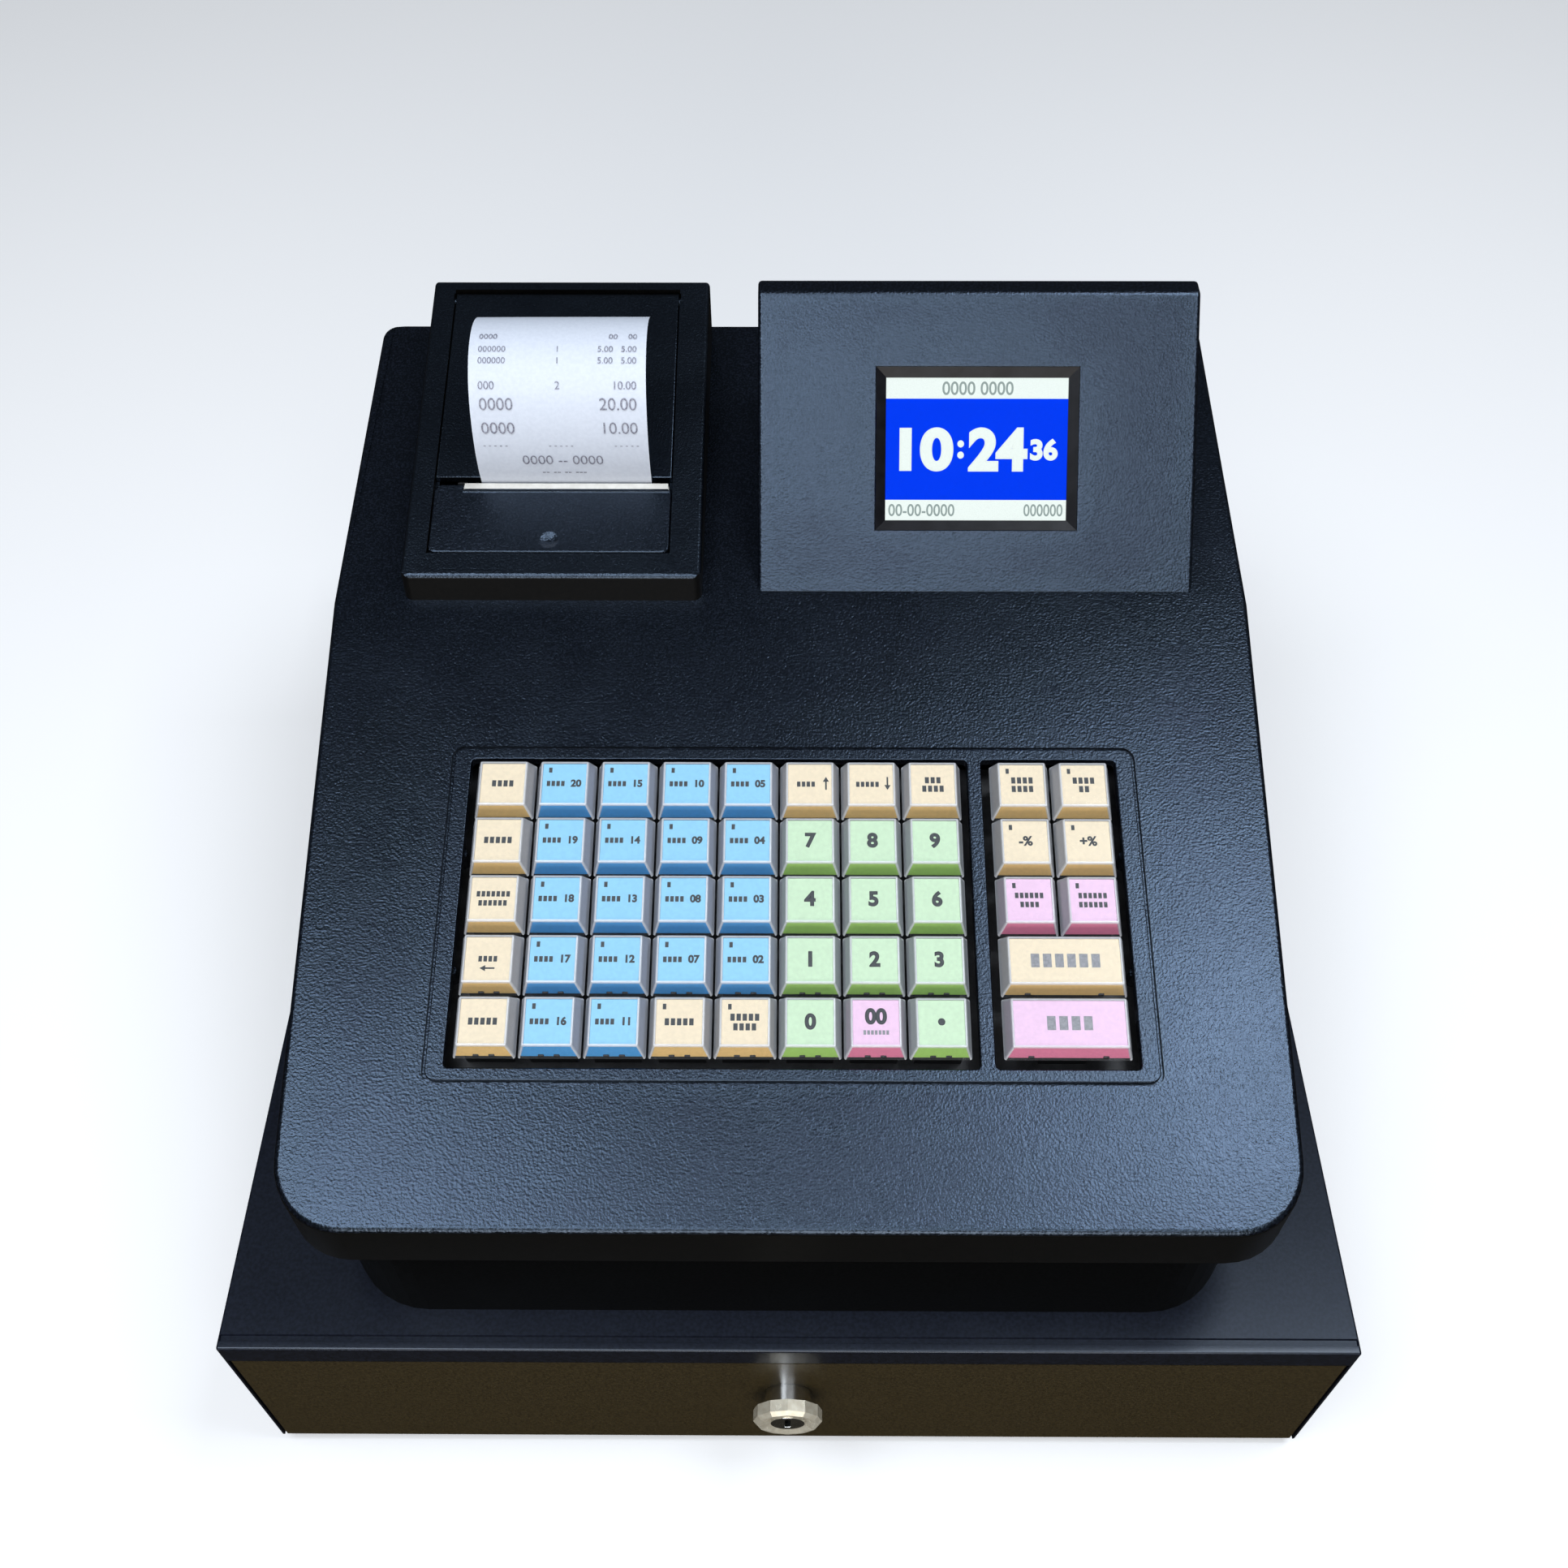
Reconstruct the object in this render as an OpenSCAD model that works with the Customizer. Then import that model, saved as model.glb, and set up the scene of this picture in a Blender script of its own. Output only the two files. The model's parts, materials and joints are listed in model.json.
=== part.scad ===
// Electronic cash register standing on a steel cash drawer. The front of the
// object faces -Y, its width runs along X, and it rests on Z = 0.
// All lengths are millimetres and all angles are degrees.

/* [Cabinet] */
// Width of the steel cabinet
cab_w = 350; // [346:1:400]
// Depth of the cabinet
cab_d = 405; // [398:1:450]
// Height of the cabinet box above its feet
cab_h = 84; // [82:1:110]
// Thickness of the folded steel sheet
sheet = 1.2; // [0.8:0.1:1.6]
// Height of the cover's folded front lip
lip_h = 10; // [6:0.5:12]
// Depth of the cover's folded front lip
lip_t = 3.2; // [2.5:0.1:4]
// Height of the rubber feet
foot_h = 6; // [4:0.5:10]
// Diameter of the rubber feet
foot_d = 20; // [14:1:26]
// Distance from the cabinet's edges to the feet's centres
foot_inset = 24; // [18:1:40]

/* [Drawer] */
// Space behind the drawer's steel tray, where the latch stands
tray_back = 48.5; // [40:0.5:70]
// Height of the drawer's steel tray
tray_h = 56; // [50:1:60]
// Gap between the cabinet's floor and the tray's
tray_lift = 5; // [4:0.5:6]
// Thickness of the drawer front's plate
front_plate = 1.5; // [1.2:0.1:2]
// Depth of the flanges round the drawer front
front_flange = 12; // [8:0.5:16]
// Seam round the drawer front
front_gap = 0.6; // [0.4:0.1:1]
// Thickness of a telescopic slide, from the cabinet's side to the tray's
slide_t = 12.7; // [11:0.1:14]
// Height of a telescopic slide
slide_h = 35; // [30:1:40]
// Distance from the front to the slides
slide_set = 16; // [14:1:24]
// Space behind the slides
slide_back = 39; // [30:1:70]

/* [Money tray] */
// Distance from the drawer's front to the money trays
insert_set = 22; // [21:0.5:26]
// Length of the coin tray
coin_len = 138; // [120:1:150]
// Height of the money trays
insert_h = 42; // [36:1:46]
// Thickness of the money trays' walls
insert_wall = 2; // [1.5:0.1:2.5]
// Diameter of the rod that carries the bill clips
rod_d = 4; // [3:0.5:5]
// Height of the clip rod above the trays' floor
rod_rise = 47; // [46:0.5:50]
// Distance from the bill tray's back to the clip rod
rod_set = 12; // [10:0.5:16]
// Length of a bill clip, from the rod to its tip
clip_len = 74; // [72:1:80]
// Width of a bill clip
clip_w = 38; // [24:1:48]

/* [Lock] */
// Height of the lock's axis above the surface
lock_z = 53; // [48:0.5:56]
// Diameter of the lock's head
lock_head_d = 22; // [18:0.5:24]
// Thickness of the lock's head
lock_head_t = 4.8; // [3.5:0.1:5.5]
// Length of the neck behind the head
lock_neck = 5.7; // [4:0.1:7]
// Diameter of the lock's barrel
barrel_d = 15; // [14:0.5:17]
// Diameter of the lock's turning plug
plug_d = 11; // [10:0.5:12]
// Length of the barrel behind the drawer front
barrel_in = 13; // [11:0.5:14]

/* [Housing] */
// Distance from the cabinet's front to the housing's front lip
lip_set = 11.6; // [8:0.1:16]
// Height of the black base between the cabinet and the housing
base_h = 41.5; // [38:0.5:50]
// Height of the housing's front lip
skirt_h = 20.5; // [18:0.5:26]
// Half width of the housing at its front
half_front = 146.5; // [142:0.5:158]
// How much wider each side of the housing is behind the keyboard
flare = 5.5; // [3:0.5:12]
// Distance from the front lip to the crease behind the keyboard
crease_run = 199.9; // [198:0.1:204]
// Distance from the crease to the housing's back
rear_run = 129; // [128:0.5:136]
// Slope of the keyboard panel
panel_slope = 13.3; // [12:0.1:14]
// Slope of the panel behind the keyboard
rear_slope = 7; // [5:0.1:8]
// Thickness of the housing's walls
wall = 2.5; // [2:0.1:3]
// Radius of the housing's front corners
corner_r = 21; // [14:0.5:26]
// Radius of the housing's back corners
corner_r_rear = 6; // [4:0.5:10]
// How far the base stands behind the front lip
base_set = 1.2; // [0.8:0.1:2]
// How far the base's sides stand inside the housing's
base_inset = 9.5; // [9:0.5:14]
// How far the base's back stands before the housing's
base_back = 14; // [8:0.5:24]
// Radius of the base's corners
base_r = 26; // [20:1:30]
// Diameter of the screws that join the base and the housing
screw_d = 3; // [2.5:0.1:4]
// Length of those screws under their heads
screw_len = 14; // [10:0.5:18]
// Distance from the housing's front and back to its end screws
screw_set = 46; // [42:1:60]

/* [Keyboard] */
// Distance between two keys
pitch = 19.05; // [18.6:0.05:19.2]
// Gap between two keys at their bottoms
key_gap = 0.65; // [0.4:0.05:1.6]
// How much narrower a key is at its top than at its bottom
key_draft = 3.6; // [0.8:0.1:4.5]
// Height of a key cap
cap_h = 7.4; // [6.5:0.1:8]
// Height of the key tops above the panel
key_rise = 8.5; // [8:0.1:10]
// Travel of a key
key_travel = 3.5; // [2:0.1:4]
// Width of a key's square stem
stem_w = 4; // [3.5:0.1:4.5]
// Distance along the panel from its front edge to the front row
rows_set = 49.2; // [46:0.1:50]
// Left edge of the left block of keys
block_x = -98.4; // [-100:0.1:-97]
// Gap between the two blocks of keys
block_gap = 8.6; // [7:0.1:9]
// Margin of the bezel's windows round the keys
window_gap = 2.3; // [1.5:0.1:2.4]
// Margin of the windows towards the bar between them
bar_gap = 2.1; // [1.5:0.1:2.4]
// Width of the bezel's frame beside its windows
bezel_frame = 5.4; // [5:0.1:7]
// Width of the bezel's frame before and behind its windows
bezel_frame_y = 3.8; // [3.6:0.1:6]
// Thickness of the bezel's rim above the panel
bezel_rim = 1; // [0.6:0.1:1.4]
// Width of the groove in the panel round the bezel
groove_w = 1.1; // [0.8:0.1:2]
// Depth of that groove
groove_t = 1; // [0.5:0.1:1.4]

/* [Display] */
// Width of the display's housing
disp_w = 144.8; // [120:0.5:160]
// Height of the display's sloping face
disp_h = 97.3; // [92:0.5:104]
// Slope of the display's face
disp_slope = 45; // [42:0.5:50]
// Centre of the display's housing across the object
disp_x = 61.7; // [55:0.5:68]
// Distance from the crease to the face's bottom edge
disp_set = 4.3; // [3:0.1:8]
// Depth of the flat strip on the display's top
disp_top = 7; // [4:0.5:14]
// Run of the display's back wall from its top to its foot
disp_back_run = 13; // [6:0.5:18]
// Width of the screen's recess
screen_w = 66.8; // [60:0.2:80]
// Height of the screen's recess
screen_h = 53.1; // [45:0.1:60]
// Distance from the face's bottom edge to the recess
screen_set = 20.4; // [14:0.1:28]
// Border of the screen inside its recess
screen_border = 3.3; // [2:0.1:5]
// Thickness of the screen's clear window
window_t = 1.5; // [1:0.1:2]
// Thickness of the screen module
lcd_t = 8; // [6:0.5:12]

/* [Printer] */
// Width of the printer's frame
prn_w = 99.2; // [98:0.2:104]
// Centre of the printer's frame across the object
prn_x = -78.8; // [-84:0.2:-76]
// Height of the frame's front wall
prn_front_h = 10; // [8:0.5:14]
// Length of the frame's top
prn_len = 125; // [123:0.5:126]
// Slope of the frame's top
prn_slope = 13.3; // [12.5:0.1:14]
// Thickness of the frame's walls
prn_wall = 2.5; // [2:0.1:3]
// Width of the lid and of the cover before it
lid_w = 80.7; // [78:0.1:84]
// Distance from the frame's front edge to the front cover
cover_set = 9; // [7:0.5:12]
// Length of the front cover
cover_len = 27; // [25:0.5:28]
// Length of the lid
lid_len = 81.1; // [79:0.1:82]
// Width of the paper slot between the cover and the lid
slot_w = 3.3; // [2.8:0.1:4]
// Thickness of the lid and of the front cover
lid_t = 2.5; // [2:0.1:3]
// Radius of the lid's hinge barrel
hinge_r = 3; // [2.5:0.1:3.5]
// Radius of the lid's hinge pins
pin_r = 1.8; // [1.5:0.1:2]
// Width of the paper
paper_w = 57.5; // [56:0.5:58]
// Centre of the paper across the object
paper_x = -75.5; // [-77:0.1:-75]
// Diameter of the paper roll
roll_d = 56; // [40:1:57]
// Diameter of the paper roll's core
core_d = 17; // [12:1:18]
// Diameter of the platen roller
platen_d = 10; // [9:0.5:11]
// Diameter of the platen's shaft
shaft_d = 3; // [2.5:0.1:4]

/* [Hidden] */
$fn = 48;
// Clearances: a small overrun for cuts, a running fit, a free gap and a rest gap
eps = 0.5;
fit = 0.05;
free = 0.5;
rest_gap = 0.3;
// Height of cuts that run out above the housing
clear_h = 60;

// Colours of the real finishes
c_steel = "#1d1e20";
c_housing = "#2b2f3a";
c_black = "#121214";
c_zinc = "#b9bcc0";
c_board = "#1f5a34";
c_key_clear = "#d8dcd6";
c_cream = "#e6d79e";
c_blue = "#7fb0c8";
c_green = "#5fb39a";
c_pink = "#e58d9d";

// Levels and front plane of the cabinet
lock_out = lock_neck + lock_head_t;
fy = -(cab_d + lock_out) / 2 + lock_out;
back_y = fy + cab_d;
z_floor = foot_h;
z_top = foot_h + cab_h;
inner_half = cab_w / 2 - sheet;

// Drawer
front_half = inner_half - front_gap;
front_z0 = z_floor + front_gap;
front_z1 = z_top - lip_h - front_gap;
tray_half = inner_half - slide_t;
tray_y0 = fy + front_plate;
tray_y1 = back_y - tray_back;
tray_z = z_floor + sheet + tray_lift;
deck_z = tray_z + sheet;
slide_z = tray_z + tray_h / 2;
slide_y = fy + slide_set;
slide_len = cab_d - slide_set - slide_back;

// Hole for the latch's cable in the cabinet's back
cable_d = 12;
cable_set = 40;
cable_rise = 20;

// Money trays
insert_half = tray_half - sheet - free;
coin_y0 = fy + insert_set;
coin_y1 = coin_y0 + coin_len;
bill_y0 = coin_y1 + free / 2;
bill_y1 = tray_y1 - sheet - free;
bays = 4;
bay_pitch = (2 * insert_half - insert_wall) / bays;
coin_rows = 2;
coin_pitch = (coin_len - insert_wall) / coin_rows;
rod_y = bill_y1 - rod_set;
rod_z = deck_z + rod_rise;
cup_r = 8;
ear_r = rod_d / 2 + 2.5;
ear_foot = 4;
clip_t = 1.6;
clip_hub_r = rod_d / 2 + clip_t;
clip_drop = asin((rod_rise - insert_wall - rest_gap - clip_t / 2) / clip_len);

// Latch behind the drawer: a solenoid lifts its plunger's nose to the tray's keeper
solenoid = [30, 26, 28];
solenoid_top = z_floor + sheet + solenoid.z;
solenoid_floor = 3;
latch_d = 6;
latch_gap = 2;
latch_y = tray_y1 + latch_gap + solenoid.y / 2;
latch_pull = 4;
collar_d = 12;
collar_t = 1.5;
nose_h = 7;
keeper_z = solenoid_top + nose_h;
keeper = [24, 22, 2];

// Lock
head_y = fy - lock_out;
head_bevel = 1.6;
nut_t = 4;
nut_rim = 3;
keyway = [1.6, 9, 7.2];
plug_sunk = 0.4;
cam = [8, 2, 12];
barrel_len = lock_out + barrel_in;

// Housing levels: base top, lip top, crease and back edge
z_skirt = z_top + base_h;
z_lip = z_skirt + skirt_h;
y_lip = fy + lip_set;
y_crease = y_lip + crease_run;
z_crease = z_lip + crease_run * tan(panel_slope);
y_rear = y_crease + rear_run;
half_rear = half_front + flare;
half_base = half_front - base_inset;
base_y0 = y_lip + base_set;
base_y1 = y_rear - base_back;

// Screws up through the base's flange into bosses of the housing
screw_out = 3.6;
screw_ys = [y_lip + screw_set, (y_lip + y_rear) / 2, y_rear - screw_set];
screw_x = half_base + screw_out;
screw_head = [5.6, 2];
screw_hex = [2.6, 1.2];
hole_gap = 0.4;
boss_d = 7;
boss_h = 18;
flange_t = 2.5;

// Main board on posts and power supply beside it
post_h = 6;
post_d = 7;
post_inset = 6;
psu = [60, 70, 30];
psu_gap = 10.5;
psu_set = 60;
psu_at = [-half_base + wall + psu_gap, y_lip + psu_set];
board_gap = 4;
board_side = 14.5;
board_set = 70;
board_at = [psu_at.x + psu.x + board_gap, y_lip + board_set];
board = [half_base - wall - board_side - board_at.x, 110];
board_posts = [for (x = [post_inset, board.x - post_inset], y = [post_inset, board.y - post_inset])
    board_at + [x, y]];
// Chips and connectors: their sizes, and their centres as shares of the board
chips = [[28, 28, 3], [20, 20, 2], [12, 30, 9], [40, 12, 10]];
chip_at = [[0.22, 0.27], [0.55, 0.55], [0.83, 0.27], [0.2, 0.75]];
psu_slots = 5;
psu_slot = [4, 4];
psu_edge = 8;

// Keyboard rows and columns
rows = 5;
left_columns = 8;
right_columns = 2;
block_w = left_columns * pitch;
right_x = block_x + block_w + block_gap;
right_w = right_columns * pitch;
rows_len = rows * pitch;
key_base = pitch - key_gap;
key_top = key_base - key_draft;
cap_z = key_rise - cap_h;
cap_wall = 1.1;
card_t = 2;
switch_w = 14;
switch_top = cap_z - key_travel - free;
pcb_t = 1.6;
switch_h = 8;
pcb_top = switch_top - switch_h;
stem_in = 1.5;
well_gap = 0.25;
bezel_x0 = block_x - window_gap - bezel_frame;
bezel_x1 = right_x + right_w + window_gap + bezel_frame;
bezel_y0 = rows_set - window_gap - bezel_frame_y;
bezel_y1 = rows_set + rows_len + window_gap + bezel_frame_y;
bezel_r = 3;
bezel_lap = 1.5;
window_r = 1.5;
peg_d = 4;
peg_inset = bezel_lap + 2.3;
// The two windows of the bezel as [x0, x1]
windows = [[block_x - window_gap, block_x + block_w + bar_gap],
    [right_x - bar_gap, right_x + right_w + window_gap]];
// Every switch as [x, y]; a double key has one switch under its middle
switches = [
    for (col = [0:left_columns - 1], row = [0:rows - 1]) [key_x(col), key_y(row)],
    for (col = [left_columns, left_columns + 1], row = [2:rows - 1]) [key_x(col), key_y(row)],
    for (row = [0, 1]) [right_x + pitch, key_y(row)]];

// Display: where its face starts and its corners as [y, z]
disp_y = y_crease + disp_set;
disp_foot = [disp_y, rear_z(disp_y)];
disp_crown = disp_foot + disp_h * [cos(disp_slope), sin(disp_slope)];
disp_crown_back = disp_crown + [disp_top, 0];
disp_heel_y = disp_crown_back.x + disp_back_run;
disp_heel = [disp_heel_y, rear_z(disp_heel_y)];
disp_wall = wall;
disp_hole = 20;
lcd_edge = 4;
lcd_step = 2;
// Top edge of the display's back cover, below the top strip
back_top = [disp_crown_back.x + disp_wall * disp_back_run / (disp_crown_back.y - disp_heel.y),
    disp_crown_back.y - disp_wall];

// Printer: the frame's front top edge as [y, z], lid hinge, platen and roll
prn_y = y_crease + 1.5;
prn_edge = [prn_y, rear_z(prn_y) + prn_front_h];
prn_back = prn_point(prn_len, 0);
prn_lean = 1;
lid_shift = 1.3;
lid_x = prn_x - lid_shift;
lid_set = cover_set + cover_len + slot_w;
lid_gap = 0.4;
ledge = 2;
cheek_t = 3.6;
cheek_out = 0.6;
hinge_s = lid_set + lid_len - hinge_r;
pin_reach = 1.5;
lid_rib = 2.4;
rib_gap = 2.6;
rib_x = paper_w / 2 + rib_gap;
rib_front = 3;
rib_back = 4;
platen_set = 3.2;
platen_s = lid_set + platen_set;
platen_h = -8.5;
platen_len = paper_w + 0.5;
platen_eye_r = 3.2;
head_gap = 1;
head_t = 5;
head_h = -17;
roll_reach = 42;
roll_s = platen_s + roll_reach;
roll_top_gap = 2.5;
roll_h = -lid_t - roll_top_gap - roll_d / 2;
roll_at = prn_point(roll_s, roll_h);
trough_wall = 2;
trough_gap = 0.3;
trough_r = roll_d / 2 + trough_gap;
trough_w = paper_w + 2;
trough_lip = 4;
gear_teeth = 15;
feed_teeth = 30;
gear_module = 2 / 3;
gear_r = gear_module * gear_teeth / 2;
feed_r = gear_module * feed_teeth / 2;
gear_t = 3;
gear_gap = 1;
gear_x = paper_x - rib_x - lid_rib - gear_t / 2 - gear_gap;
mesh_gap = 0.6;
feed_reach = gear_r + feed_r + mesh_gap;
feed_aim = -80;
feed_at = platen_at() + feed_reach * [cos(feed_aim), sin(feed_aim)];
motor_d = 12;
motor_len = 14;
motor_shaft = 2;
plate_top = -12.5;
plate_bottom = -32;
floor_t = 2;
cover_r = 2.5;
// Thumb dimple of the front cover: the cutting ball, its height and its place
dimple_d = 11;
dimple_h = 4.6;
dimple_set = 5.2;
// Toothed tear bar on the front cover: its width across the paper, length and height
bar_w = 68.6;
bar_l = 2.8;
bar_h = 0.7;
bar_over = 0.3;
// Well in the housing under the printer
well_side = 8.5;
well_set = 14;
well_floor = 6;
well_x0 = gear_x - gear_t / 2 - well_side;
well_x1 = paper_x + trough_w / 2 + trough_wall + free;
well_y0 = prn_y + well_set;
well_y1 = roll_at.x + trough_r + trough_wall + free;

// Receipt: thickness, and the radius, angle and steps of its two bends
paper_t = 0.3;
rise_r = 46;
rise_angle = 39;
rise_steps = 6;
curl_r = 23;
curl_angle = 102;
curl_steps = 12;

// Heights of the two top planes at y, at a depth below their surface
function panel_z(y, depth = 0) = z_lip + (y - y_lip) * tan(panel_slope) - depth / cos(panel_slope);
function rear_z(y, depth = 0) = z_crease + (y - y_crease) * tan(rear_slope) - depth / cos(rear_slope);

// Half width of the housing at y
function half_at(y) = half_front
    + (half_rear - half_front) * min(1, max(0, (y - y_lip) / crease_run));

function unit(v) = v / norm(v);

// Points of the arc that rounds the corner b between its neighbours a and c
function corner(a, b, c, r, n) = r <= 0 ? [b] :
    let (u = unit(a - b), v = unit(c - b), half = acos(u * v) / 2,
         o = b + unit(u + v) * r / sin(half),
         p = b + u * r / tan(half) - o, q = b + v * r / tan(half) - o,
         a0 = atan2(p.y, p.x), turn = atan2(p.x * q.y - p.y * q.x, p * q))
    [for (i = [0:n]) o + r * [cos(a0 + turn * i / n), sin(a0 + turn * i / n)]];

// A polygon's points with each corner rounded by its own radius
function rounded(pts, radii, n = 6) = let (m = len(pts))
    [for (i = [0:m - 1]) each corner(pts[(i + m - 1) % m], pts[i], pts[(i + 1) % m], radii[i], n)];

// Points along an arc that leaves start at a heading and turns by sweep
function arc_path(start, heading, r, sweep, n) =
    let (s = sign(sweep), o = start + r * [cos(heading + 90 * s), sin(heading + 90 * s)])
    [for (i = [0:n]) let (a = heading - 90 * s + sweep * i / n) o + r * [cos(a), sin(a)]];

// Housing outline seen from above, drawn in by an inset
function body_plan(inset) = rounded(
    [[-half_front + inset, y_lip + inset], [half_front - inset, y_lip + inset],
     [half_rear - inset, y_crease], [half_rear - inset, y_rear - inset],
     [-half_rear + inset, y_rear - inset], [-half_rear + inset, y_crease]],
    [corner_r - inset, corner_r - inset, 0, corner_r_rear - inset, corner_r_rear - inset, 0], 8);

// Crease of the two top planes at a depth below their surface, as [y, z]
function crease(depth) = let (
    y = y_crease + depth * (1 / cos(panel_slope) - 1 / cos(rear_slope))
        / (tan(panel_slope) - tan(rear_slope)))
    [y, panel_z(y, depth)];

// Housing outline seen from the side
function body_side(inset) = [[y_lip - eps, z_skirt - eps * sign(inset)],
    [y_lip - eps, panel_z(y_lip - eps, inset)], crease(inset),
    [y_rear + eps, rear_z(y_rear + eps, inset)], [y_rear + eps, z_skirt - eps * sign(inset)]];

function platen_at() = prn_point(platen_s, platen_h);
// A point at s along the printer's top and h above it, as [y, z]
function prn_point(s, h) = prn_edge + s * [cos(prn_slope), sin(prn_slope)]
    + h * [-sin(prn_slope), cos(prn_slope)];

// Extrudes a [y, z] outline along X, centred on x
module across(w, x = 0) {
    translate([x - w / 2, 0, 0]) rotate([90, 0, 90]) linear_extrude(w) children();
}

// A cylinder along X, centred on x
module bar(r, w, x = 0) {
    translate([x - w / 2, 0, 0]) rotate([0, 90, 0]) cylinder(r = r, h = w);
}

// A cylinder along Y that starts at y
module plug_bar(r, len, y = 0) {
    translate([0, y, 0]) rotate([-90, 0, 0]) cylinder(r = r, h = len);
}

// Places children on the keyboard panel: Y along the slope, Z out of it
module on_panel() {
    translate([0, y_lip, z_lip]) rotate([panel_slope, 0, 0]) children();
}

// Places children on the display's face: Y up the face, Z out of it
module on_face() {
    translate([disp_x, disp_foot.x, disp_foot.y]) rotate([disp_slope, 0, 0]) children();
}

// Places children on the printer's top: Y along it, Z out of it
module on_printer() {
    translate([0, prn_edge.x, prn_edge.y]) rotate([prn_slope, 0, 0]) children();
}

// A box with rounded vertical edges between two corners
module round_box(lo, hi, r) {
    translate([0, 0, lo.z]) linear_extrude(hi.z - lo.z)
        polygon(rounded([[lo.x, lo.y], [hi.x, lo.y], [hi.x, hi.y], [lo.x, hi.y]], [r, r, r, r]));
}

// A box between two corners
module box(lo, hi) {
    translate(lo) cube(hi - lo);
}

module mirror_pair() {
    children();
    mirror([1, 0, 0]) children();
}

// ---------------------------------------------------------------- cabinet

module rubber_feet() {
    color(c_black)
        for (x = [-1, 1], y = [fy + foot_inset, back_y - foot_inset])
            translate([x * (cab_w / 2 - foot_inset), y, 0]) {
                cylinder(r1 = foot_d / 2 - 1, r2 = foot_d / 2, h = 1);
                translate([0, 0, 1]) cylinder(d = foot_d, h = foot_h - 1);
            }
}

module cabinet_base() {
    color(c_steel) {
        box([-inner_half, fy + front_flange + front_gap, z_floor],
            [inner_half, back_y - sheet, z_floor + sheet]);
        difference() {
            box([-inner_half, back_y - sheet, z_floor], [inner_half, back_y, z_top - sheet]);
            translate([inner_half - cable_set, 0, z_floor + cable_rise])
                plug_bar(cable_d / 2, sheet + 2 * eps, back_y - sheet - eps);
        }
    }
}

module cabinet_cover() {
    lip_back = fy + lip_t;
    color(c_steel) {
        box([-cab_w / 2, fy + sheet, z_top - sheet], [cab_w / 2, back_y, z_top]);
        mirror_pair()
            box([inner_half, fy + sheet, z_floor], [cab_w / 2, back_y, z_top - sheet]);
        box([-cab_w / 2, fy, z_top - lip_h], [cab_w / 2, fy + sheet, z_top]);
        mirror_pair()
            box([inner_half, fy, z_floor], [cab_w / 2, fy + sheet, z_top - lip_h]);
        box([-inner_half, fy + sheet, z_top - lip_h], [inner_half, lip_back, z_top - lip_h + sheet]);
    }
}

module slide_rails() {
    color(c_zinc)
        mirror_pair()
            translate([0, slide_y, slide_z]) {
                box([inner_half - sheet, 0, -slide_h / 2], [inner_half, slide_len, slide_h / 2]);
                for (side = [-1, 1])
                    translate([0, 0, side * (slide_h - sheet) / 2])
                        box([tray_half + sheet + rest_gap, 0, -sheet / 2],
                            [inner_half - sheet, slide_len, sheet / 2]);
            }
}

module drawer_runners() {
    runner_h = slide_h - 2 * sheet - 2 * rest_gap;
    color(c_zinc)
        mirror_pair()
            translate([0, slide_y, slide_z]) {
                box([tray_half, 0, -runner_h / 2], [tray_half + sheet, slide_len, runner_h / 2]);
                for (side = [-1, 1])
                    translate([0, 0, side * (runner_h - sheet) / 2])
                        box([tray_half + sheet, 0, -sheet / 2],
                            [inner_half - sheet - rest_gap, slide_len, sheet / 2]);
            }
}

module drawer_solenoid() {
    color("#8a6a3a")
        translate([0, latch_y, z_floor + sheet])
            difference() {
                translate([-solenoid.x / 2, -solenoid.y / 2, 0]) cube(solenoid);
                translate([0, 0, solenoid_floor]) cylinder(d = latch_d + 2 * fit, h = solenoid.z);
            }
}

module latch_plunger() {
    z0 = z_floor + sheet + solenoid_floor + latch_pull + 2 * free;
    color(c_zinc)
        translate([0, latch_y, 0]) {
            translate([0, 0, z0]) cylinder(d = latch_d, h = keeper_z - rest_gap - z0);
            translate([0, 0, solenoid_top + latch_pull + rest_gap]) difference() {
                cylinder(d = collar_d, h = collar_t);
                translate([0, 0, -eps]) cylinder(d = latch_d - 1, h = collar_t + 2 * eps);
            }
        }
}

// ----------------------------------------------------------------- drawer

module drawer_tray() {
    top = tray_z + tray_h;
    color(c_steel) {
        difference() {
            box([-tray_half, tray_y0, tray_z], [tray_half, tray_y1, top]);
            box([-tray_half + sheet, tray_y0 + sheet, deck_z],
                [tray_half - sheet, tray_y1 - sheet, top + eps]);
            translate([0, 0, lock_z]) plug_bar(barrel_d / 2 + fit, sheet + 2 * eps, tray_y0 - eps);
        }
        box([-keeper.x / 2, tray_y1, keeper_z], [keeper.x / 2, tray_y1 + keeper.y, keeper_z + keeper.z]);
    }
}

module drawer_front() {
    color(c_steel)
        difference() {
            box([-front_half, fy, front_z0], [front_half, fy + front_flange, front_z1]);
            box([-front_half + sheet, fy + front_plate, front_z0 + sheet],
                [front_half - sheet, fy + front_flange + eps, front_z1 - sheet]);
            translate([0, 0, lock_z]) plug_bar(barrel_d / 2 + fit, front_plate + 2 * eps, fy - eps);
        }
}

module coin_tray() {
    color(c_black)
        difference() {
            box([-insert_half, coin_y0, deck_z], [insert_half, coin_y1, deck_z + insert_h]);
            for (i = [0:bays - 1], j = [0:coin_rows - 1]) {
                x0 = -insert_half + insert_wall + i * bay_pitch;
                y0 = coin_y0 + insert_wall + j * coin_pitch;
                round_box([x0, y0, deck_z + insert_wall], [x0 + bay_pitch - insert_wall,
                    y0 + coin_pitch - insert_wall, deck_z + insert_h + eps], cup_r);
            }
        }
}

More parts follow.
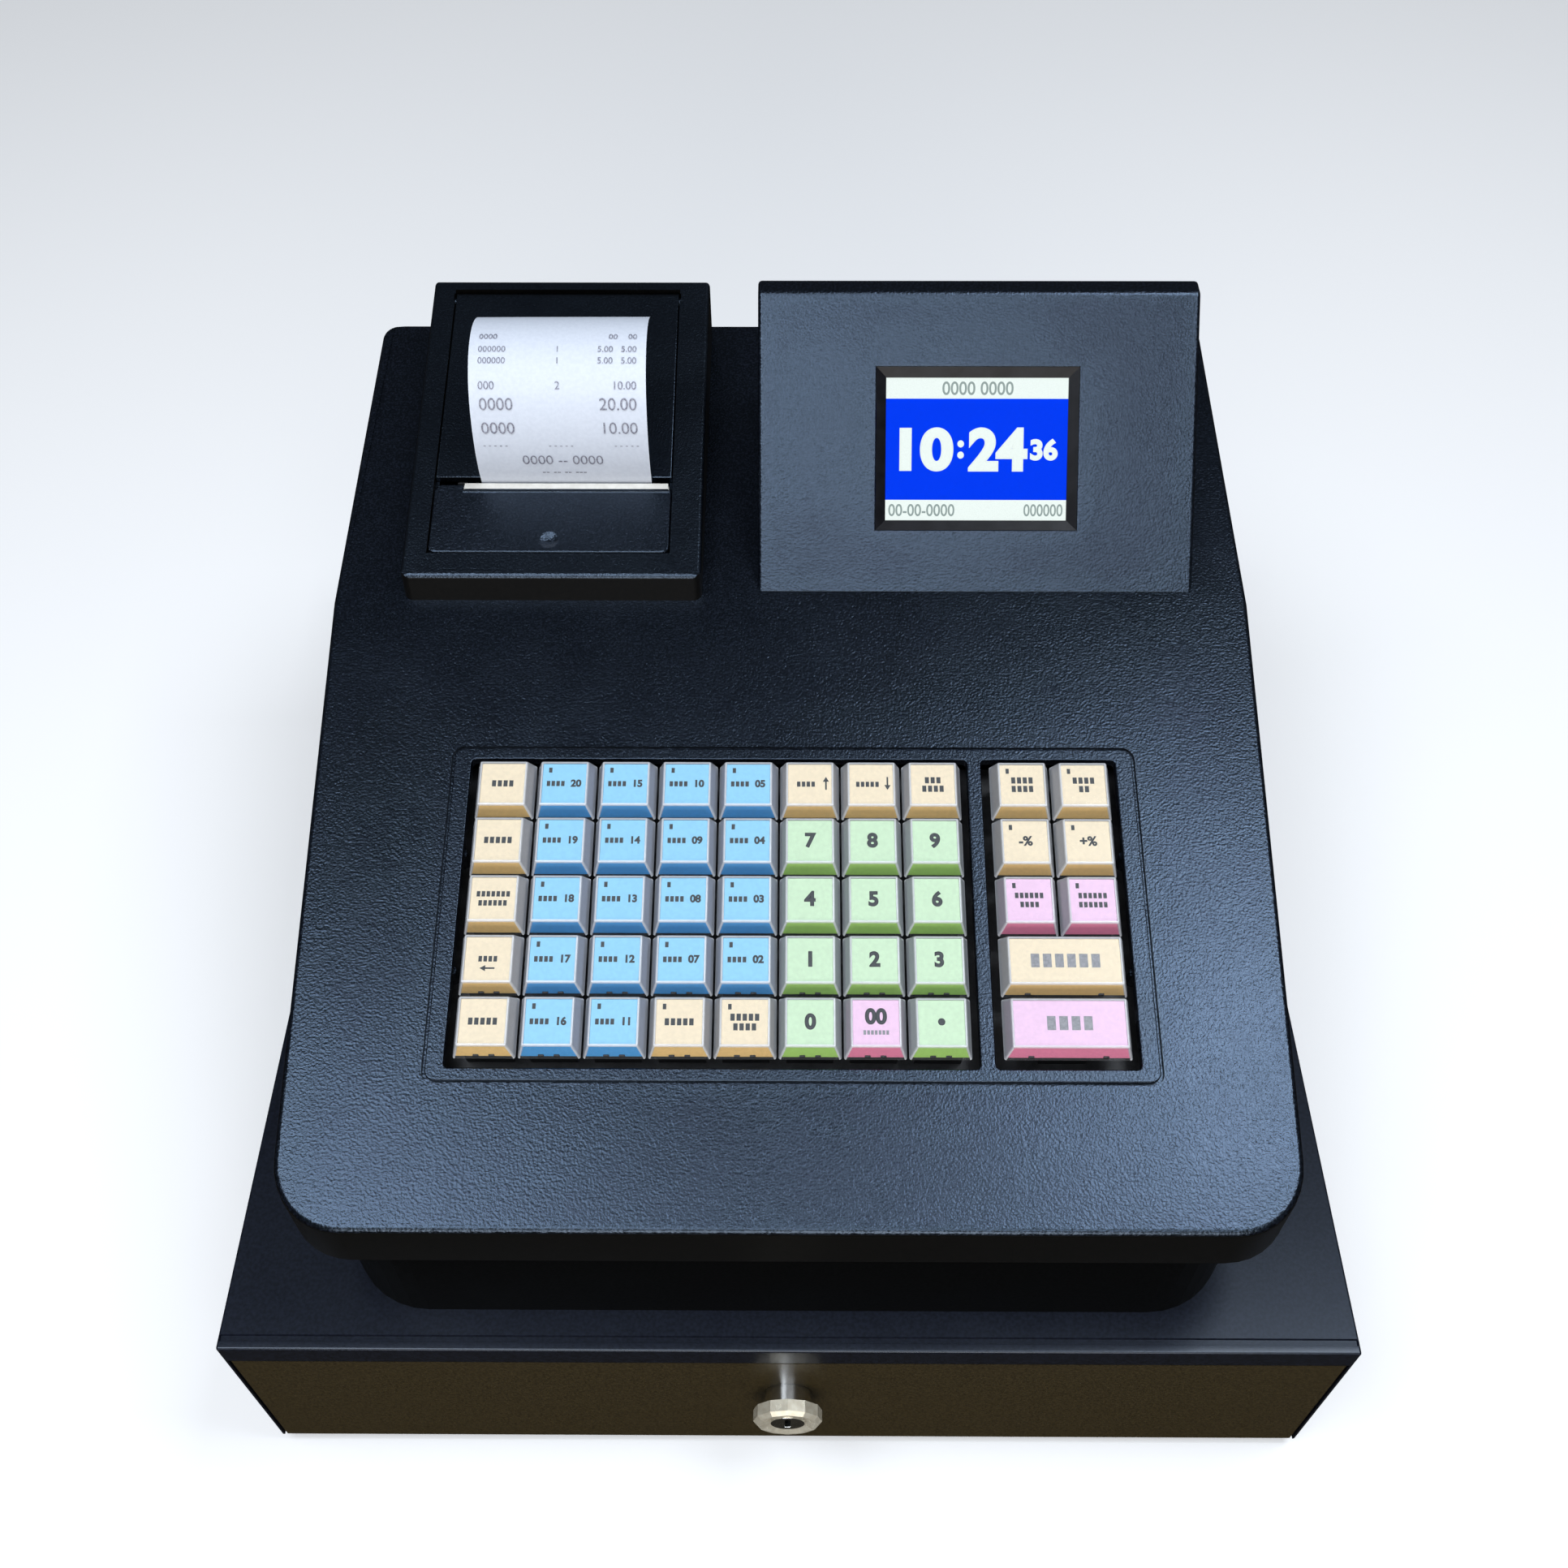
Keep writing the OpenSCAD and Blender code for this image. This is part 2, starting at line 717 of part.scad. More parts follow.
module bill_tray() {
    ear_z = deck_z + insert_h - ear_foot;
    color(c_black)
        difference() {
            union() {
                difference() {
                    box([-insert_half, bill_y0, deck_z], [insert_half, bill_y1, deck_z + insert_h]);
                    for (i = [0:bays - 1]) {
                        x0 = -insert_half + insert_wall + i * bay_pitch;
                        box([x0, bill_y0 + insert_wall, deck_z + insert_wall],
                            [x0 + bay_pitch - insert_wall, bill_y1 - insert_wall, deck_z + insert_h + eps]);
                    }
                }
                for (i = [0:bays]) {
                    x0 = -insert_half + i * bay_pitch;
                    box([x0, rod_y - ear_r, ear_z], [x0 + insert_wall, rod_y + ear_r, rod_z]);
                    translate([x0 + insert_wall / 2, rod_y, rod_z]) bar(ear_r, insert_wall);
                }
            }
            translate([0, rod_y, rod_z]) bar(rod_d / 2 + fit, 2 * insert_half + 2 * eps);
        }
}

module clip_rod() {
    color(c_zinc)
        translate([0, rod_y, rod_z]) bar(rod_d / 2, 2 * insert_half);
}

// One sprung clip: a hub on the rod and an arm that slopes down to the bills
module bill_clip(i) {
    x = -insert_half + insert_wall / 2 + (i + 0.5) * bay_pitch;
    color("#2a2a2c")
        translate([x, rod_y, rod_z])
            difference() {
                union() {
                    bar(clip_hub_r, clip_w);
                    rotate([clip_drop, 0, 0]) {
                        translate([-clip_w / 2, -clip_len, -clip_t / 2]) cube([clip_w, clip_len, clip_t]);
                        translate([0, -clip_len, 0]) bar(clip_t / 2, clip_w);
                    }
                }
                bar(rod_d / 2 + 2 * fit, clip_w + 2 * eps);
            }
}

module lock_barrel() {
    color("#c9ccd0")
        translate([0, 0, lock_z])
            difference() {
                union() {
                    plug_bar(barrel_d / 2, barrel_len, head_y);
                    translate([0, head_y, 0]) rotate([-90, 0, 0])
                        cylinder(r1 = lock_head_d / 2 - head_bevel, r2 = lock_head_d / 2, h = head_bevel);
                    plug_bar(lock_head_d / 2, lock_head_t - head_bevel, head_y + head_bevel);
                    plug_bar(barrel_d / 2 + nut_rim, nut_t, tray_y0 + sheet);
                }
                plug_bar(plug_d / 2 + fit, barrel_len + 2 * eps, head_y - eps);
            }
}

module lock_plug() {
    color("#b4b7bb")
        translate([0, 0, lock_z]) {
            difference() {
                plug_bar(plug_d / 2, barrel_len + rest_gap + cam.y - plug_sunk, head_y + plug_sunk);
                translate([-keyway.x / 2, head_y, -keyway.z / 2]) cube(keyway);
            }
            translate([-cam.x / 2, head_y + barrel_len + rest_gap, -cam.z]) cube(cam);
        }
}

// ---------------------------------------------------------------- housing

// Solid of the upper housing, drawn in by an inset
module body_solid(inset) {
    intersection() {
        translate([0, 0, z_skirt - eps * sign(inset)])
            linear_extrude(rear_z(y_rear) - z_skirt + clear_h) polygon(body_plan(inset));
        across(2 * half_rear + 2 * eps) polygon(body_side(inset));
    }
}

module case_screws() {
    color(c_zinc)
        for (x = [-screw_x, screw_x], y = screw_ys)
            translate([x, y, z_skirt]) {
                cylinder(d = screw_d, h = screw_len);
                translate([0, 0, -screw_head.y]) difference() {
                    cylinder(d = screw_head.x, h = screw_head.y);
                    translate([0, 0, -eps]) cylinder(d = screw_hex.x, h = screw_hex.y + eps, $fn = 6);
                }
            }
}

// Outline of the base seen from above, drawn in by an inset
function base_plan(inset) = let (x = half_base - inset, y0 = base_y0 + inset, y1 = base_y1 - inset)
    rounded([[-x, y0], [x, y0], [x, y1], [-x, y1]], [for (i = [0:3]) base_r - inset], 8);

module base_housing() {
    color(c_black)
        difference() {
            union() {
                translate([0, 0, z_top]) linear_extrude(base_h) polygon(base_plan(0));
                translate([0, 0, z_skirt]) linear_extrude(flange_t) polygon(body_plan(wall));
            }
            difference() {
                translate([0, 0, z_top + wall]) linear_extrude(base_h + flange_t) polygon(base_plan(wall));
                for (p = board_posts) translate([p.x, p.y, z_top]) cylinder(d = post_d, h = wall + post_h);
            }
            for (x = [-screw_x, screw_x], y = screw_ys)
                translate([x, y, z_skirt - eps]) cylinder(d = screw_d + hole_gap, h = flange_t + 2 * eps);
        }
}

module top_housing() {
    color(c_housing)
        difference() {
            union() {
                difference() {
                    body_solid(0);
                    body_solid(wall);
                }
                for (x = [-1, 1], y = screw_ys)
                    translate([0, y, z_skirt + flange_t]) {
                        translate([x * screw_x, 0, 0]) cylinder(d = boss_d, h = boss_h);
                        reach = half_at(y) - wall / 2;
                        box([min(x * screw_x, x * reach), -boss_d / 2, 0],
                            [max(x * screw_x, x * reach), boss_d / 2, boss_h]);
                    }
            }
            for (x = [-screw_x, screw_x], y = screw_ys)
                translate([x, y, z_skirt]) cylinder(d = screw_d + 2 * fit, h = screw_len + screw_head.y);
            on_panel() box([bezel_x0 + bezel_lap, bezel_y0 + bezel_lap, -3 * wall],
                [bezel_x1 - bezel_lap, bezel_y1 - bezel_lap, wall]);
            on_panel() difference() {
                round_box([bezel_x0 - groove_w, bezel_y0 - groove_w, -groove_t],
                    [bezel_x1 + groove_w, bezel_y1 + groove_w, wall], bezel_r + groove_w);
                round_box([bezel_x0, bezel_y0, -groove_t - eps], [bezel_x1, bezel_y1, wall + eps], bezel_r);
            }
            box([disp_x - disp_w / 2 + disp_hole, disp_y + disp_hole, z_crease - 3 * wall],
                [disp_x + disp_w / 2 - disp_hole, disp_heel_y - disp_hole, z_crease + clear_h]);
            box([well_x0, well_y0, z_skirt + well_floor], [well_x1, well_y1, z_crease + clear_h]);
        }
}

// --------------------------------------------------------------- keyboard

module key_bezel() {
    pegs = [for (x = [bezel_x0 + peg_inset, bezel_x1 - peg_inset],
        y = [rows_set + 1.5 * pitch, rows_set + 3.5 * pitch]) [x, y]];
    color("#343844")
        on_panel()
            difference() {
                union() {
                    round_box([bezel_x0, bezel_y0, 0], [bezel_x1, bezel_y1, bezel_rim], bezel_r);
                    box([bezel_x0 + bezel_lap, bezel_y0 + bezel_lap, -wall],
                        [bezel_x1 - bezel_lap, bezel_y1 - bezel_lap, 0]);
                    for (p = pegs) translate([p.x, p.y, pcb_top]) cylinder(d = peg_d, h = -wall - pcb_top);
                }
                for (w = windows)
                    round_box([w[0], rows_set - window_gap, -wall - eps],
                        [w[1], rows_set + rows_len + window_gap, bezel_rim + eps], window_r);
            }
}

module keyboard_pcb() {
    color(c_board)
        on_panel()
            box([bezel_x0 + bezel_lap, bezel_y0 + bezel_lap, pcb_top - pcb_t],
                [bezel_x1 - bezel_lap, bezel_y1 - bezel_lap, pcb_top]);
}

// Centre of the key in a column and row; columns 8 and 9 are the right block
function key_x(col) = col < left_columns ? block_x + (col + 0.5) * pitch
    : right_x + (col - left_columns + 0.5) * pitch;
function key_y(row) = rows_set + (row + 0.5) * pitch;

module key_switches() {
    well = stem_in + key_travel + free;
    color("#3a3b3e")
        on_panel()
            for (p = switches)
                translate([p.x, p.y, 0])
                    difference() {
                        box([-switch_w / 2, -switch_w / 2, pcb_top],
                            [switch_w / 2, switch_w / 2, switch_top]);
                        box([-stem_w / 2 - well_gap, -stem_w / 2 - well_gap, switch_top - well],
                            [stem_w / 2 + well_gap, stem_w / 2 + well_gap, switch_top + eps]);
                    }
}

// A tapered block: its bottom and top are [width, depth]
module taper(bottom, top, h) {
    intersection() {
        translate([0, bottom.y / 2, 0]) rotate([90, 0, 0]) linear_extrude(bottom.y)
            polygon([[-bottom.x / 2, 0], [bottom.x / 2, 0], [top.x / 2, h], [-top.x / 2, h]]);
        across(bottom.x)
            polygon([[-bottom.y / 2, 0], [bottom.y / 2, 0], [top.y / 2, h], [-top.y / 2, h]]);
    }
}

// One key: a clear cap over a coloured card on a square stem
module key(x, y, span, tint) {
    extra = (span - 1) * pitch;
    bottom = [key_base + extra, key_base];
    top = [key_top + extra, key_top];
    shrink = 2 * cap_wall * [1, 1];
    card = (top - shrink) / 2;
    card_top = cap_h - cap_wall;
    card_z = card_top - card_t;
    stem_z = switch_top - cap_z - stem_in;
    on_panel()
        translate([x, y, cap_z]) {
            color(c_key_clear) difference() {
                taper(bottom, top, cap_h);
                translate([0, 0, -eps]) taper(bottom - shrink, top - shrink, card_top + eps);
            }
            color(tint) {
                box([-card.x, -card.y, card_z], [card.x, card.y, card_top]);
                box([-stem_w / 2, -stem_w / 2, stem_z], [stem_w / 2, stem_w / 2, card_z]);
            }
        }
}

module digit_key(col, row, tint = c_green) {
    key(key_x(col), key_y(row), 1, tint);
}

// A column of five keys with its own colour in the front row
module key_column(col, tint, front_tint) {
    for (row = [0:rows - 1])
        key(key_x(col), key_y(row), 1, row == 0 ? front_tint : tint);
}

module function_keys() {
    for (col = [5, 6, 7]) key(key_x(col), key_y(4), 1, c_cream);
    for (col = [8, 9], row = [3, 4]) key(key_x(col), key_y(row), 1, c_cream);
}

module modifier_keys() {
    for (col = [8, 9]) key(key_x(col), key_y(2), 1, c_pink);
}

module subtotal_key() {
    key(right_x + pitch, key_y(1), 2, c_cream);
}

module cash_key() {
    key(right_x + pitch, key_y(0), 2, c_pink);
}

// ------------------------------------------------------------ electronics

module mainboard() {
    color(c_board)
        translate([board_at.x, board_at.y, z_top + wall + post_h]) {
            cube([board.x, board.y, pcb_t]);
            for (i = [0:len(chips) - 1])
                translate([chip_at[i].x * board.x, chip_at[i].y * board.y, pcb_t])
                    box([-chips[i].x / 2, -chips[i].y / 2, 0], [chips[i].x / 2, chips[i].y / 2, chips[i].z]);
        }
}

// Switching supply in a steel can with cooling slots along its top
module power_supply() {
    slot_pitch = psu.x / (psu_slots + 1);
    color("#8d9094")
        translate([psu_at.x, psu_at.y, z_top + wall])
            difference() {
                cube(psu);
                for (i = [1:psu_slots])
                    translate([i * slot_pitch - psu_slot.x / 2, psu_edge, psu.z - psu_slot.y])
                        cube([psu_slot.x, psu.y - 2 * psu_edge, psu_slot.y + eps]);
            }
}

// ---------------------------------------------------------------- display

module display_housing() {
    t = disp_wall;
    // The hollow runs out below the foot and behind the heel
    deep = t + eps;
    inner_foot = disp_foot + [t / sin(disp_slope) - deep / tan(disp_slope), -deep];
    inner_crown = disp_crown + [t / sin(disp_slope) - t / tan(disp_slope), -t];
    color(c_housing)
        difference() {
            across(disp_w, disp_x) polygon([disp_foot, disp_crown, disp_crown_back, disp_heel]);
            across(disp_w - 2 * t, disp_x) polygon([inner_foot, inner_crown, [back_top.x + eps, back_top.y],
                [disp_heel.x + eps, disp_heel.y], [disp_heel.x + eps, inner_foot.y]]);
            on_face() box([-screen_w / 2, screen_set, -3 * t], [screen_w / 2, screen_set + screen_h, t]);
        }
}

module display_window() {
    color("#20303a")
        on_face() box([-screen_w / 2, screen_set, -disp_wall],
            [screen_w / 2, screen_set + screen_h, -disp_wall + window_t]);
}

// The module's board, and the lit panel on it within the screen's border
module lcd_module() {
    color("#2f6fb8")
        on_face() {
            box([-screen_w / 2 - lcd_edge, screen_set - lcd_edge, -disp_wall - lcd_t],
                [screen_w / 2 + lcd_edge, screen_set + screen_h + lcd_edge, -disp_wall - lcd_step]);
            box([-screen_w / 2 + screen_border, screen_set + screen_border, -disp_wall - lcd_step],
                [screen_w / 2 - screen_border, screen_set + screen_h - screen_border, -disp_wall]);
        }
}

module display_back() {
    t = disp_wall;
    color(c_housing)
        across(disp_w - 2 * t, disp_x) polygon([back_top, [back_top.x - t, back_top.y],
            [disp_heel.x - t, rear_z(disp_heel.x - t)], disp_heel]);
}

// ---------------------------------------------------------------- printer

// Outline of the printer's box as [y, z], drawn in by an inset from its walls and top
function frame_side(inset, drop) = let (y0 = prn_y - prn_lean + inset, y1 = prn_back.x + prn_lean - inset)
    [[y0, rear_z(y0) - drop], prn_point(inset, -inset), prn_point(prn_len - inset, -inset),
     [y1, rear_z(y1) - drop]];

module printer_frame() {
    r = trough_r;
    t = prn_wall;
    trough_y0 = roll_at.x - r - trough_wall;
    trough_y1 = roll_at.x + r + trough_wall;
    trough_z = roll_at.y - r - trough_wall;
    trough_half = trough_w / 2 + trough_wall;
    plate_x = trough_half - trough_wall / 2;
    plate_s = platen_s - platen_d / 2 - head_gap - head_t;
    head_front = prn_point(plate_s, 0).x;
    color("#262933")
        difference() {
            union() {
                difference() {
                    across(prn_w, prn_x) polygon(frame_side(0, 0));
                    across(prn_w - 2 * t, prn_x) polygon(frame_side(t, eps));
                    on_printer() box([lid_x - lid_w / 2, cover_set, -2 * t],
                        [lid_x + lid_w / 2, lid_set + lid_len + lid_gap, t]);
                }
                // Floor on the housing, open over the mechanism
                difference() {
                    across(prn_w, prn_x) polygon([[prn_y, rear_z(prn_y)], [prn_y, rear_z(prn_y) + floor_t],
                        [prn_back.x, rear_z(prn_back.x) + floor_t], [prn_back.x, rear_z(prn_back.x)]]);
                    box([gear_x - gear_t / 2 - 2 * free, head_front - 2 * free, z_skirt],
                        [paper_x + trough_half, trough_y0, z_crease + clear_h]);
                }
                // Side cheeks that carry the hinge, the cover and the lid
                for (side = [-1, 1])
                    across(cheek_t, lid_x + side * (lid_w / 2 + cheek_out)) polygon([
                        [prn_y + t, rear_z(prn_y + t)], prn_point(t + ledge, -lid_t - rest_gap),
                        prn_point(prn_len - t, -lid_t - rest_gap), [prn_back.x - t, rear_z(prn_back.x - t)]]);
                // Bucket that holds the roll
                across(2 * trough_half, paper_x) polygon([[trough_y0, trough_z],
                    [trough_y1, trough_z], [trough_y1, rear_z(trough_y1) + floor_t],
                    [trough_y0, rear_z(trough_y0) + floor_t + trough_lip]]);
                // Plates before the bucket that carry the print head and the motor
                for (side = [-1, 1])
                    on_printer() translate([paper_x + side * plate_x, 0, 0])
                        box([-trough_wall / 2, plate_s, plate_bottom],
                            [trough_wall / 2, roll_s - r, plate_top]);
            }
            translate([0, roll_at.x, roll_at.y]) bar(r, trough_w, paper_x);
            across(trough_w, paper_x) polygon([roll_at - [r, 0], roll_at + [r, 0],
                roll_at + [r, r], roll_at + [-r, r]]);
            on_printer() translate([0, hinge_s, -hinge_r]) {
                bar(hinge_r + lid_gap, lid_w + 2 * lid_gap, lid_x);
                bar(pin_r + fit, lid_w + 2 * (cheek_t + eps), lid_x);
            }
            translate([paper_x - trough_half - eps, feed_at.x, feed_at.y]) rotate([0, 90, 0])
                cylinder(d = motor_shaft + 2 * free, h = trough_wall + 2 * eps);
        }
}

module tear_cover() {
    cover_w = lid_w - 2 * lid_gap;
    color(c_housing)
        on_printer()
            difference() {
                round_box([lid_x - cover_w / 2, cover_set + lid_gap, -lid_t],
                    [lid_x + cover_w / 2, cover_set + cover_len, 0], cover_r);
                translate([lid_x, cover_set + dimple_set, dimple_h]) sphere(d = dimple_d);
            }
    color(c_zinc)
        on_printer()
            box([paper_x - bar_w / 2, cover_set + cover_len + bar_over - bar_l, 0],
                [paper_x + bar_w / 2, cover_set + cover_len + bar_over, bar_h]);
}

module print_head() {
    head_y1 = platen_s - platen_d / 2 - head_gap;
    color(c_zinc)
        on_printer()
            box([paper_x - trough_w / 2, head_y1 - head_t, head_h],
                [paper_x + trough_w / 2, head_y1, -lid_t]);
}

module feed_motor() {
    plate_in = paper_x - trough_w / 2;
    gear_out = gear_x - gear_t / 2;
    color("#6f7276")
        translate([0, feed_at.x, feed_at.y]) {
            bar(motor_d / 2, motor_len, plate_in + motor_len / 2);
            bar(motor_shaft / 2, plate_in - gear_out, (plate_in + gear_out) / 2);
        }
}

// A spur gear with straight-flanked teeth and a bore; a tooth's root and tip are
// [half width as a share of its width at the pitch circle, height above that circle]
module gear(r, teeth, t, bore, phase) {
    root = [1.15, -1.1];
    tip = [0.5, 0.55];
    flank = 360 / teeth / 4;
    difference() {
        linear_extrude(t)
            polygon([for (i = [0:teeth - 1], k = [[-root.x, root.y], [-tip.x, tip.y], tip, root])
                let (a = phase + i * 360 / teeth + k[0] * flank) (r + k[1]) * [cos(a), sin(a)]]);
        translate([0, 0, -eps]) cylinder(d = bore, h = t + 2 * eps);
    }
}

module feed_gear() {
    color("#e8e6df")
        translate([gear_x - gear_t / 2, feed_at.x, feed_at.y]) rotate([0, 90, 0])
            gear(feed_r, feed_teeth, gear_t, motor_shaft + 2 * fit, feed_aim + 270 + 180 / feed_teeth);
}

module printer_lid() {
    color(c_housing)
        on_printer()
            difference() {
                union() {
                    box([lid_x - lid_w / 2 + lid_gap, lid_set, -lid_t],
                        [lid_x + lid_w / 2 - lid_gap, hinge_s, 0]);
                    translate([0, hinge_s, -hinge_r]) bar(hinge_r, lid_w - 2 * lid_gap, lid_x);
                    translate([0, hinge_s, -hinge_r]) bar(pin_r, lid_w + 2 * pin_reach, lid_x);
                    for (side = [-1, 1])
                        translate([paper_x + side * (rib_x + lid_rib / 2), platen_s, platen_h]) {
                            box([-lid_rib / 2, -rib_front, 0], [lid_rib / 2, rib_back, -lid_t - platen_h]);
                            bar(platen_eye_r, lid_rib);
                        }
                }
                translate([0, platen_s, platen_h]) bar(shaft_d / 2 + fit, 2 * rib_x + 4 * lid_rib, paper_x);
            }
}

module platen_roller() {
    at = platen_at();
    gear_in = gear_x - gear_t / 2;
    color("#2b2b2e")
        translate([0, at.x, at.y]) {
            bar(platen_d / 2, platen_len, paper_x);
            translate([gear_in, 0, 0]) rotate([0, 90, 0])
                cylinder(d = shaft_d, h = paper_x - platen_len / 2 - gear_in);
            translate([paper_x + platen_len / 2, 0, 0]) rotate([0, 90, 0])
                cylinder(d = shaft_d, h = rib_x + lid_rib - platen_len / 2);
            translate([gear_in, 0, 0]) rotate([0, 90, 0])
                gear(gear_r, gear_teeth, gear_t, shaft_d - 1, feed_aim + 90);
        }
}

module paper_roll() {
    color("white")
        translate([0, roll_at.x, roll_at.y])
            difference() {
                bar(roll_d / 2, paper_w, paper_x);
                bar(core_d / 2, paper_w + 2 * eps, paper_x);
            }
}

// The paper leaves the platen along the lid's normal, leans back and then curls over
module receipt() {
    start = prn_point(platen_s - platen_d / 2 - rest_gap / 2 - paper_t / 2, platen_h);
    out = start - platen_h * [-sin(prn_slope), cos(prn_slope)];
    rise = arc_path(out, 90 + prn_slope, rise_r, -rise_angle, rise_steps);
    curl = arc_path(rise[rise_steps], 90 + prn_slope - rise_angle, curl_r, -curl_angle, curl_steps);
    path = concat([start], rise, [for (i = [1:curl_steps]) curl[i]]);
    last = len(path) - 1;
    sides = [for (i = [0:last]) let (d = unit(path[min(i + 1, last)] - path[max(i - 1, 0)]))
        paper_t / 2 * [-d.y, d.x]];
    color("white")
        across(paper_w, paper_x)
            polygon(concat([for (i = [0:last]) path[i] + sides[i]],
                [for (i = [0:last]) path[last - i] - sides[last - i]]));
}

rubber_feet();
cabinet_base();
cabinet_cover();
slide_rails();
drawer_runners();
drawer_solenoid();
latch_plunger();
drawer_tray();
drawer_front();
coin_tray();
bill_tray();
clip_rod();
bill_clip(0);  // bill_clip_1
bill_clip(1);  // bill_clip_2
bill_clip(2);  // bill_clip_3
bill_clip(3);  // bill_clip_4
lock_barrel();
lock_plug();
base_housing();
top_housing();
case_screws();
key_bezel();
keyboard_pcb();
key_switches();
mainboard();
power_supply();
display_housing();
display_window();
lcd_module();
display_back();
printer_frame();
tear_cover();
print_head();
feed_motor();
feed_gear();
printer_lid();
platen_roller();
paper_roll();
receipt();
digit_key(5, 0);  // digit_key_0
digit_key(6, 0, c_pink);  // digit_key_00
digit_key(7, 0);  // point_key
digit_key(5, 1);  // digit_key_1
digit_key(6, 1);  // digit_key_2
digit_key(7, 1);  // digit_key_3
digit_key(5, 2);  // digit_key_4
digit_key(6, 2);  // digit_key_5
digit_key(7, 2);  // digit_key_6
digit_key(5, 3);  // digit_key_7
digit_key(6, 3);  // digit_key_8
digit_key(7, 3);  // digit_key_9
key_column(0, c_cream, c_cream);  // key_column_1
key_column(1, c_blue, c_blue);  // key_column_2
key_column(2, c_blue, c_blue);  // key_column_3
key_column(3, c_blue, c_cream);  // key_column_4
key_column(4, c_blue, c_cream);  // key_column_5
function_keys();
modifier_keys();
subtotal_key();
cash_key();
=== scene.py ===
import json
import math

import bpy
from mathutils import Matrix, Vector

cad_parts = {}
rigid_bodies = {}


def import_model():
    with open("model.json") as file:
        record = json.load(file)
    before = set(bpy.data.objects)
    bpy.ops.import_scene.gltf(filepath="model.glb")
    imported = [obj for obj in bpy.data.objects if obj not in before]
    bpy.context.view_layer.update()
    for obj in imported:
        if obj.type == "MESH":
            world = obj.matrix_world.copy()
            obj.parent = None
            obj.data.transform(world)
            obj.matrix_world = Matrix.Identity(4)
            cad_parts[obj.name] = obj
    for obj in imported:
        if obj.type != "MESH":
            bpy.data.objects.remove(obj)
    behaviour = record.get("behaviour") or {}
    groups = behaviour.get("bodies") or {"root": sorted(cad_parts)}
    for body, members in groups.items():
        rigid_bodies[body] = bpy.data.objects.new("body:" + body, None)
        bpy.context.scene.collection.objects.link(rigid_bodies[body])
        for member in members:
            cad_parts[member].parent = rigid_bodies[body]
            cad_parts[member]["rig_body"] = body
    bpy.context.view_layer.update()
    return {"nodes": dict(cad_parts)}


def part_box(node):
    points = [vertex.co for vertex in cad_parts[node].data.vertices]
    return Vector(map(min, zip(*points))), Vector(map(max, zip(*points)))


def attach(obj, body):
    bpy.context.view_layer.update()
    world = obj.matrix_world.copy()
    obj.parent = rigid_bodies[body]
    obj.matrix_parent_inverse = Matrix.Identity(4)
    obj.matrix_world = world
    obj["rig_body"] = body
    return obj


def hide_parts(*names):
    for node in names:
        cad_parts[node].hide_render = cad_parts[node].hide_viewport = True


bpy.ops.object.select_all(action="SELECT")
bpy.ops.object.delete()
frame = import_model()
nodes = frame["nodes"]
scene = bpy.context.scene
mm = 0.001

# ---------------------------------------------------------------- camera and room
# The register is seen from the front and above, by someone who stands at the till.
camera_place = Vector((0.00095, -0.36960, 0.58858))
camera_turn = (Matrix.Rotation(math.radians(0.47), 4, "Z")
               @ Matrix.Rotation(math.radians(38.24), 4, "X")
               @ Matrix.Rotation(math.radians(-0.22), 4, "Z"))
lens = bpy.data.cameras.new("till_camera")
lens.sensor_width = 36
lens.lens = 37.52
lens.clip_start = 0.01
camera = bpy.data.objects.new("till_camera", lens)
camera.matrix_world = Matrix.Translation(camera_place) @ camera_turn
scene.collection.objects.link(camera)
scene.camera = camera
scene.view_settings.view_transform = "Standard"

# A white table under three ceiling softboxes, a high one in front and a low front fill. The
# room is dim, and the table is lighter to the eye and darker in what mirrors it.
table_size = 8
bpy.ops.object.select_all(action="DESELECT")
bpy.ops.mesh.primitive_plane_add(size=table_size, location=(0, 0, 0))
table = bpy.context.object
table.name = "table"
table_finish = bpy.data.materials.new("white_table")
table_finish.use_nodes = True
table_shader = table_finish.node_tree.nodes["Principled BSDF"]
table_shader.inputs["Base Color"].default_value = (0.93, 0.93, 0.93, 1)
table_shader.inputs["Roughness"].default_value = 0.7
table_tree = table_finish.node_tree
mirrored = table_tree.nodes.new("ShaderNodeBsdfDiffuse")
mirrored.inputs["Color"].default_value = (0.03, 0.026, 0.02, 1)
ray = table_tree.nodes.new("ShaderNodeLightPath")
either = table_tree.nodes.new("ShaderNodeMixShader")
table_glow = table_tree.nodes.new("ShaderNodeMath")
table_glow.operation = "MULTIPLY"
table_glow.inputs[1].default_value = 0.25
table_tree.links.new(ray.outputs["Is Camera Ray"], table_glow.inputs[0])
table_tree.links.new(table_glow.outputs["Value"], table_shader.inputs["Emission Strength"])
table_shader.inputs["Emission Color"].default_value = (1, 1, 1, 1)
table_tree.links.new(ray.outputs["Is Glossy Ray"], either.inputs["Fac"])
table_tree.links.new(table_shader.outputs["BSDF"], either.inputs[1])
table_tree.links.new(mirrored.outputs["BSDF"], either.inputs[2])
table_tree.links.new(either.outputs["Shader"], table_tree.nodes["Material Output"].inputs["Surface"])
table.data.materials.append(table_finish)

world = bpy.data.worlds.new("room")
world.use_nodes = True
world.node_tree.nodes["Background"].inputs["Color"].default_value = (0.8, 0.88, 1, 1)
world.node_tree.nodes["Background"].inputs["Strength"].default_value = 0.06
scene.world = world


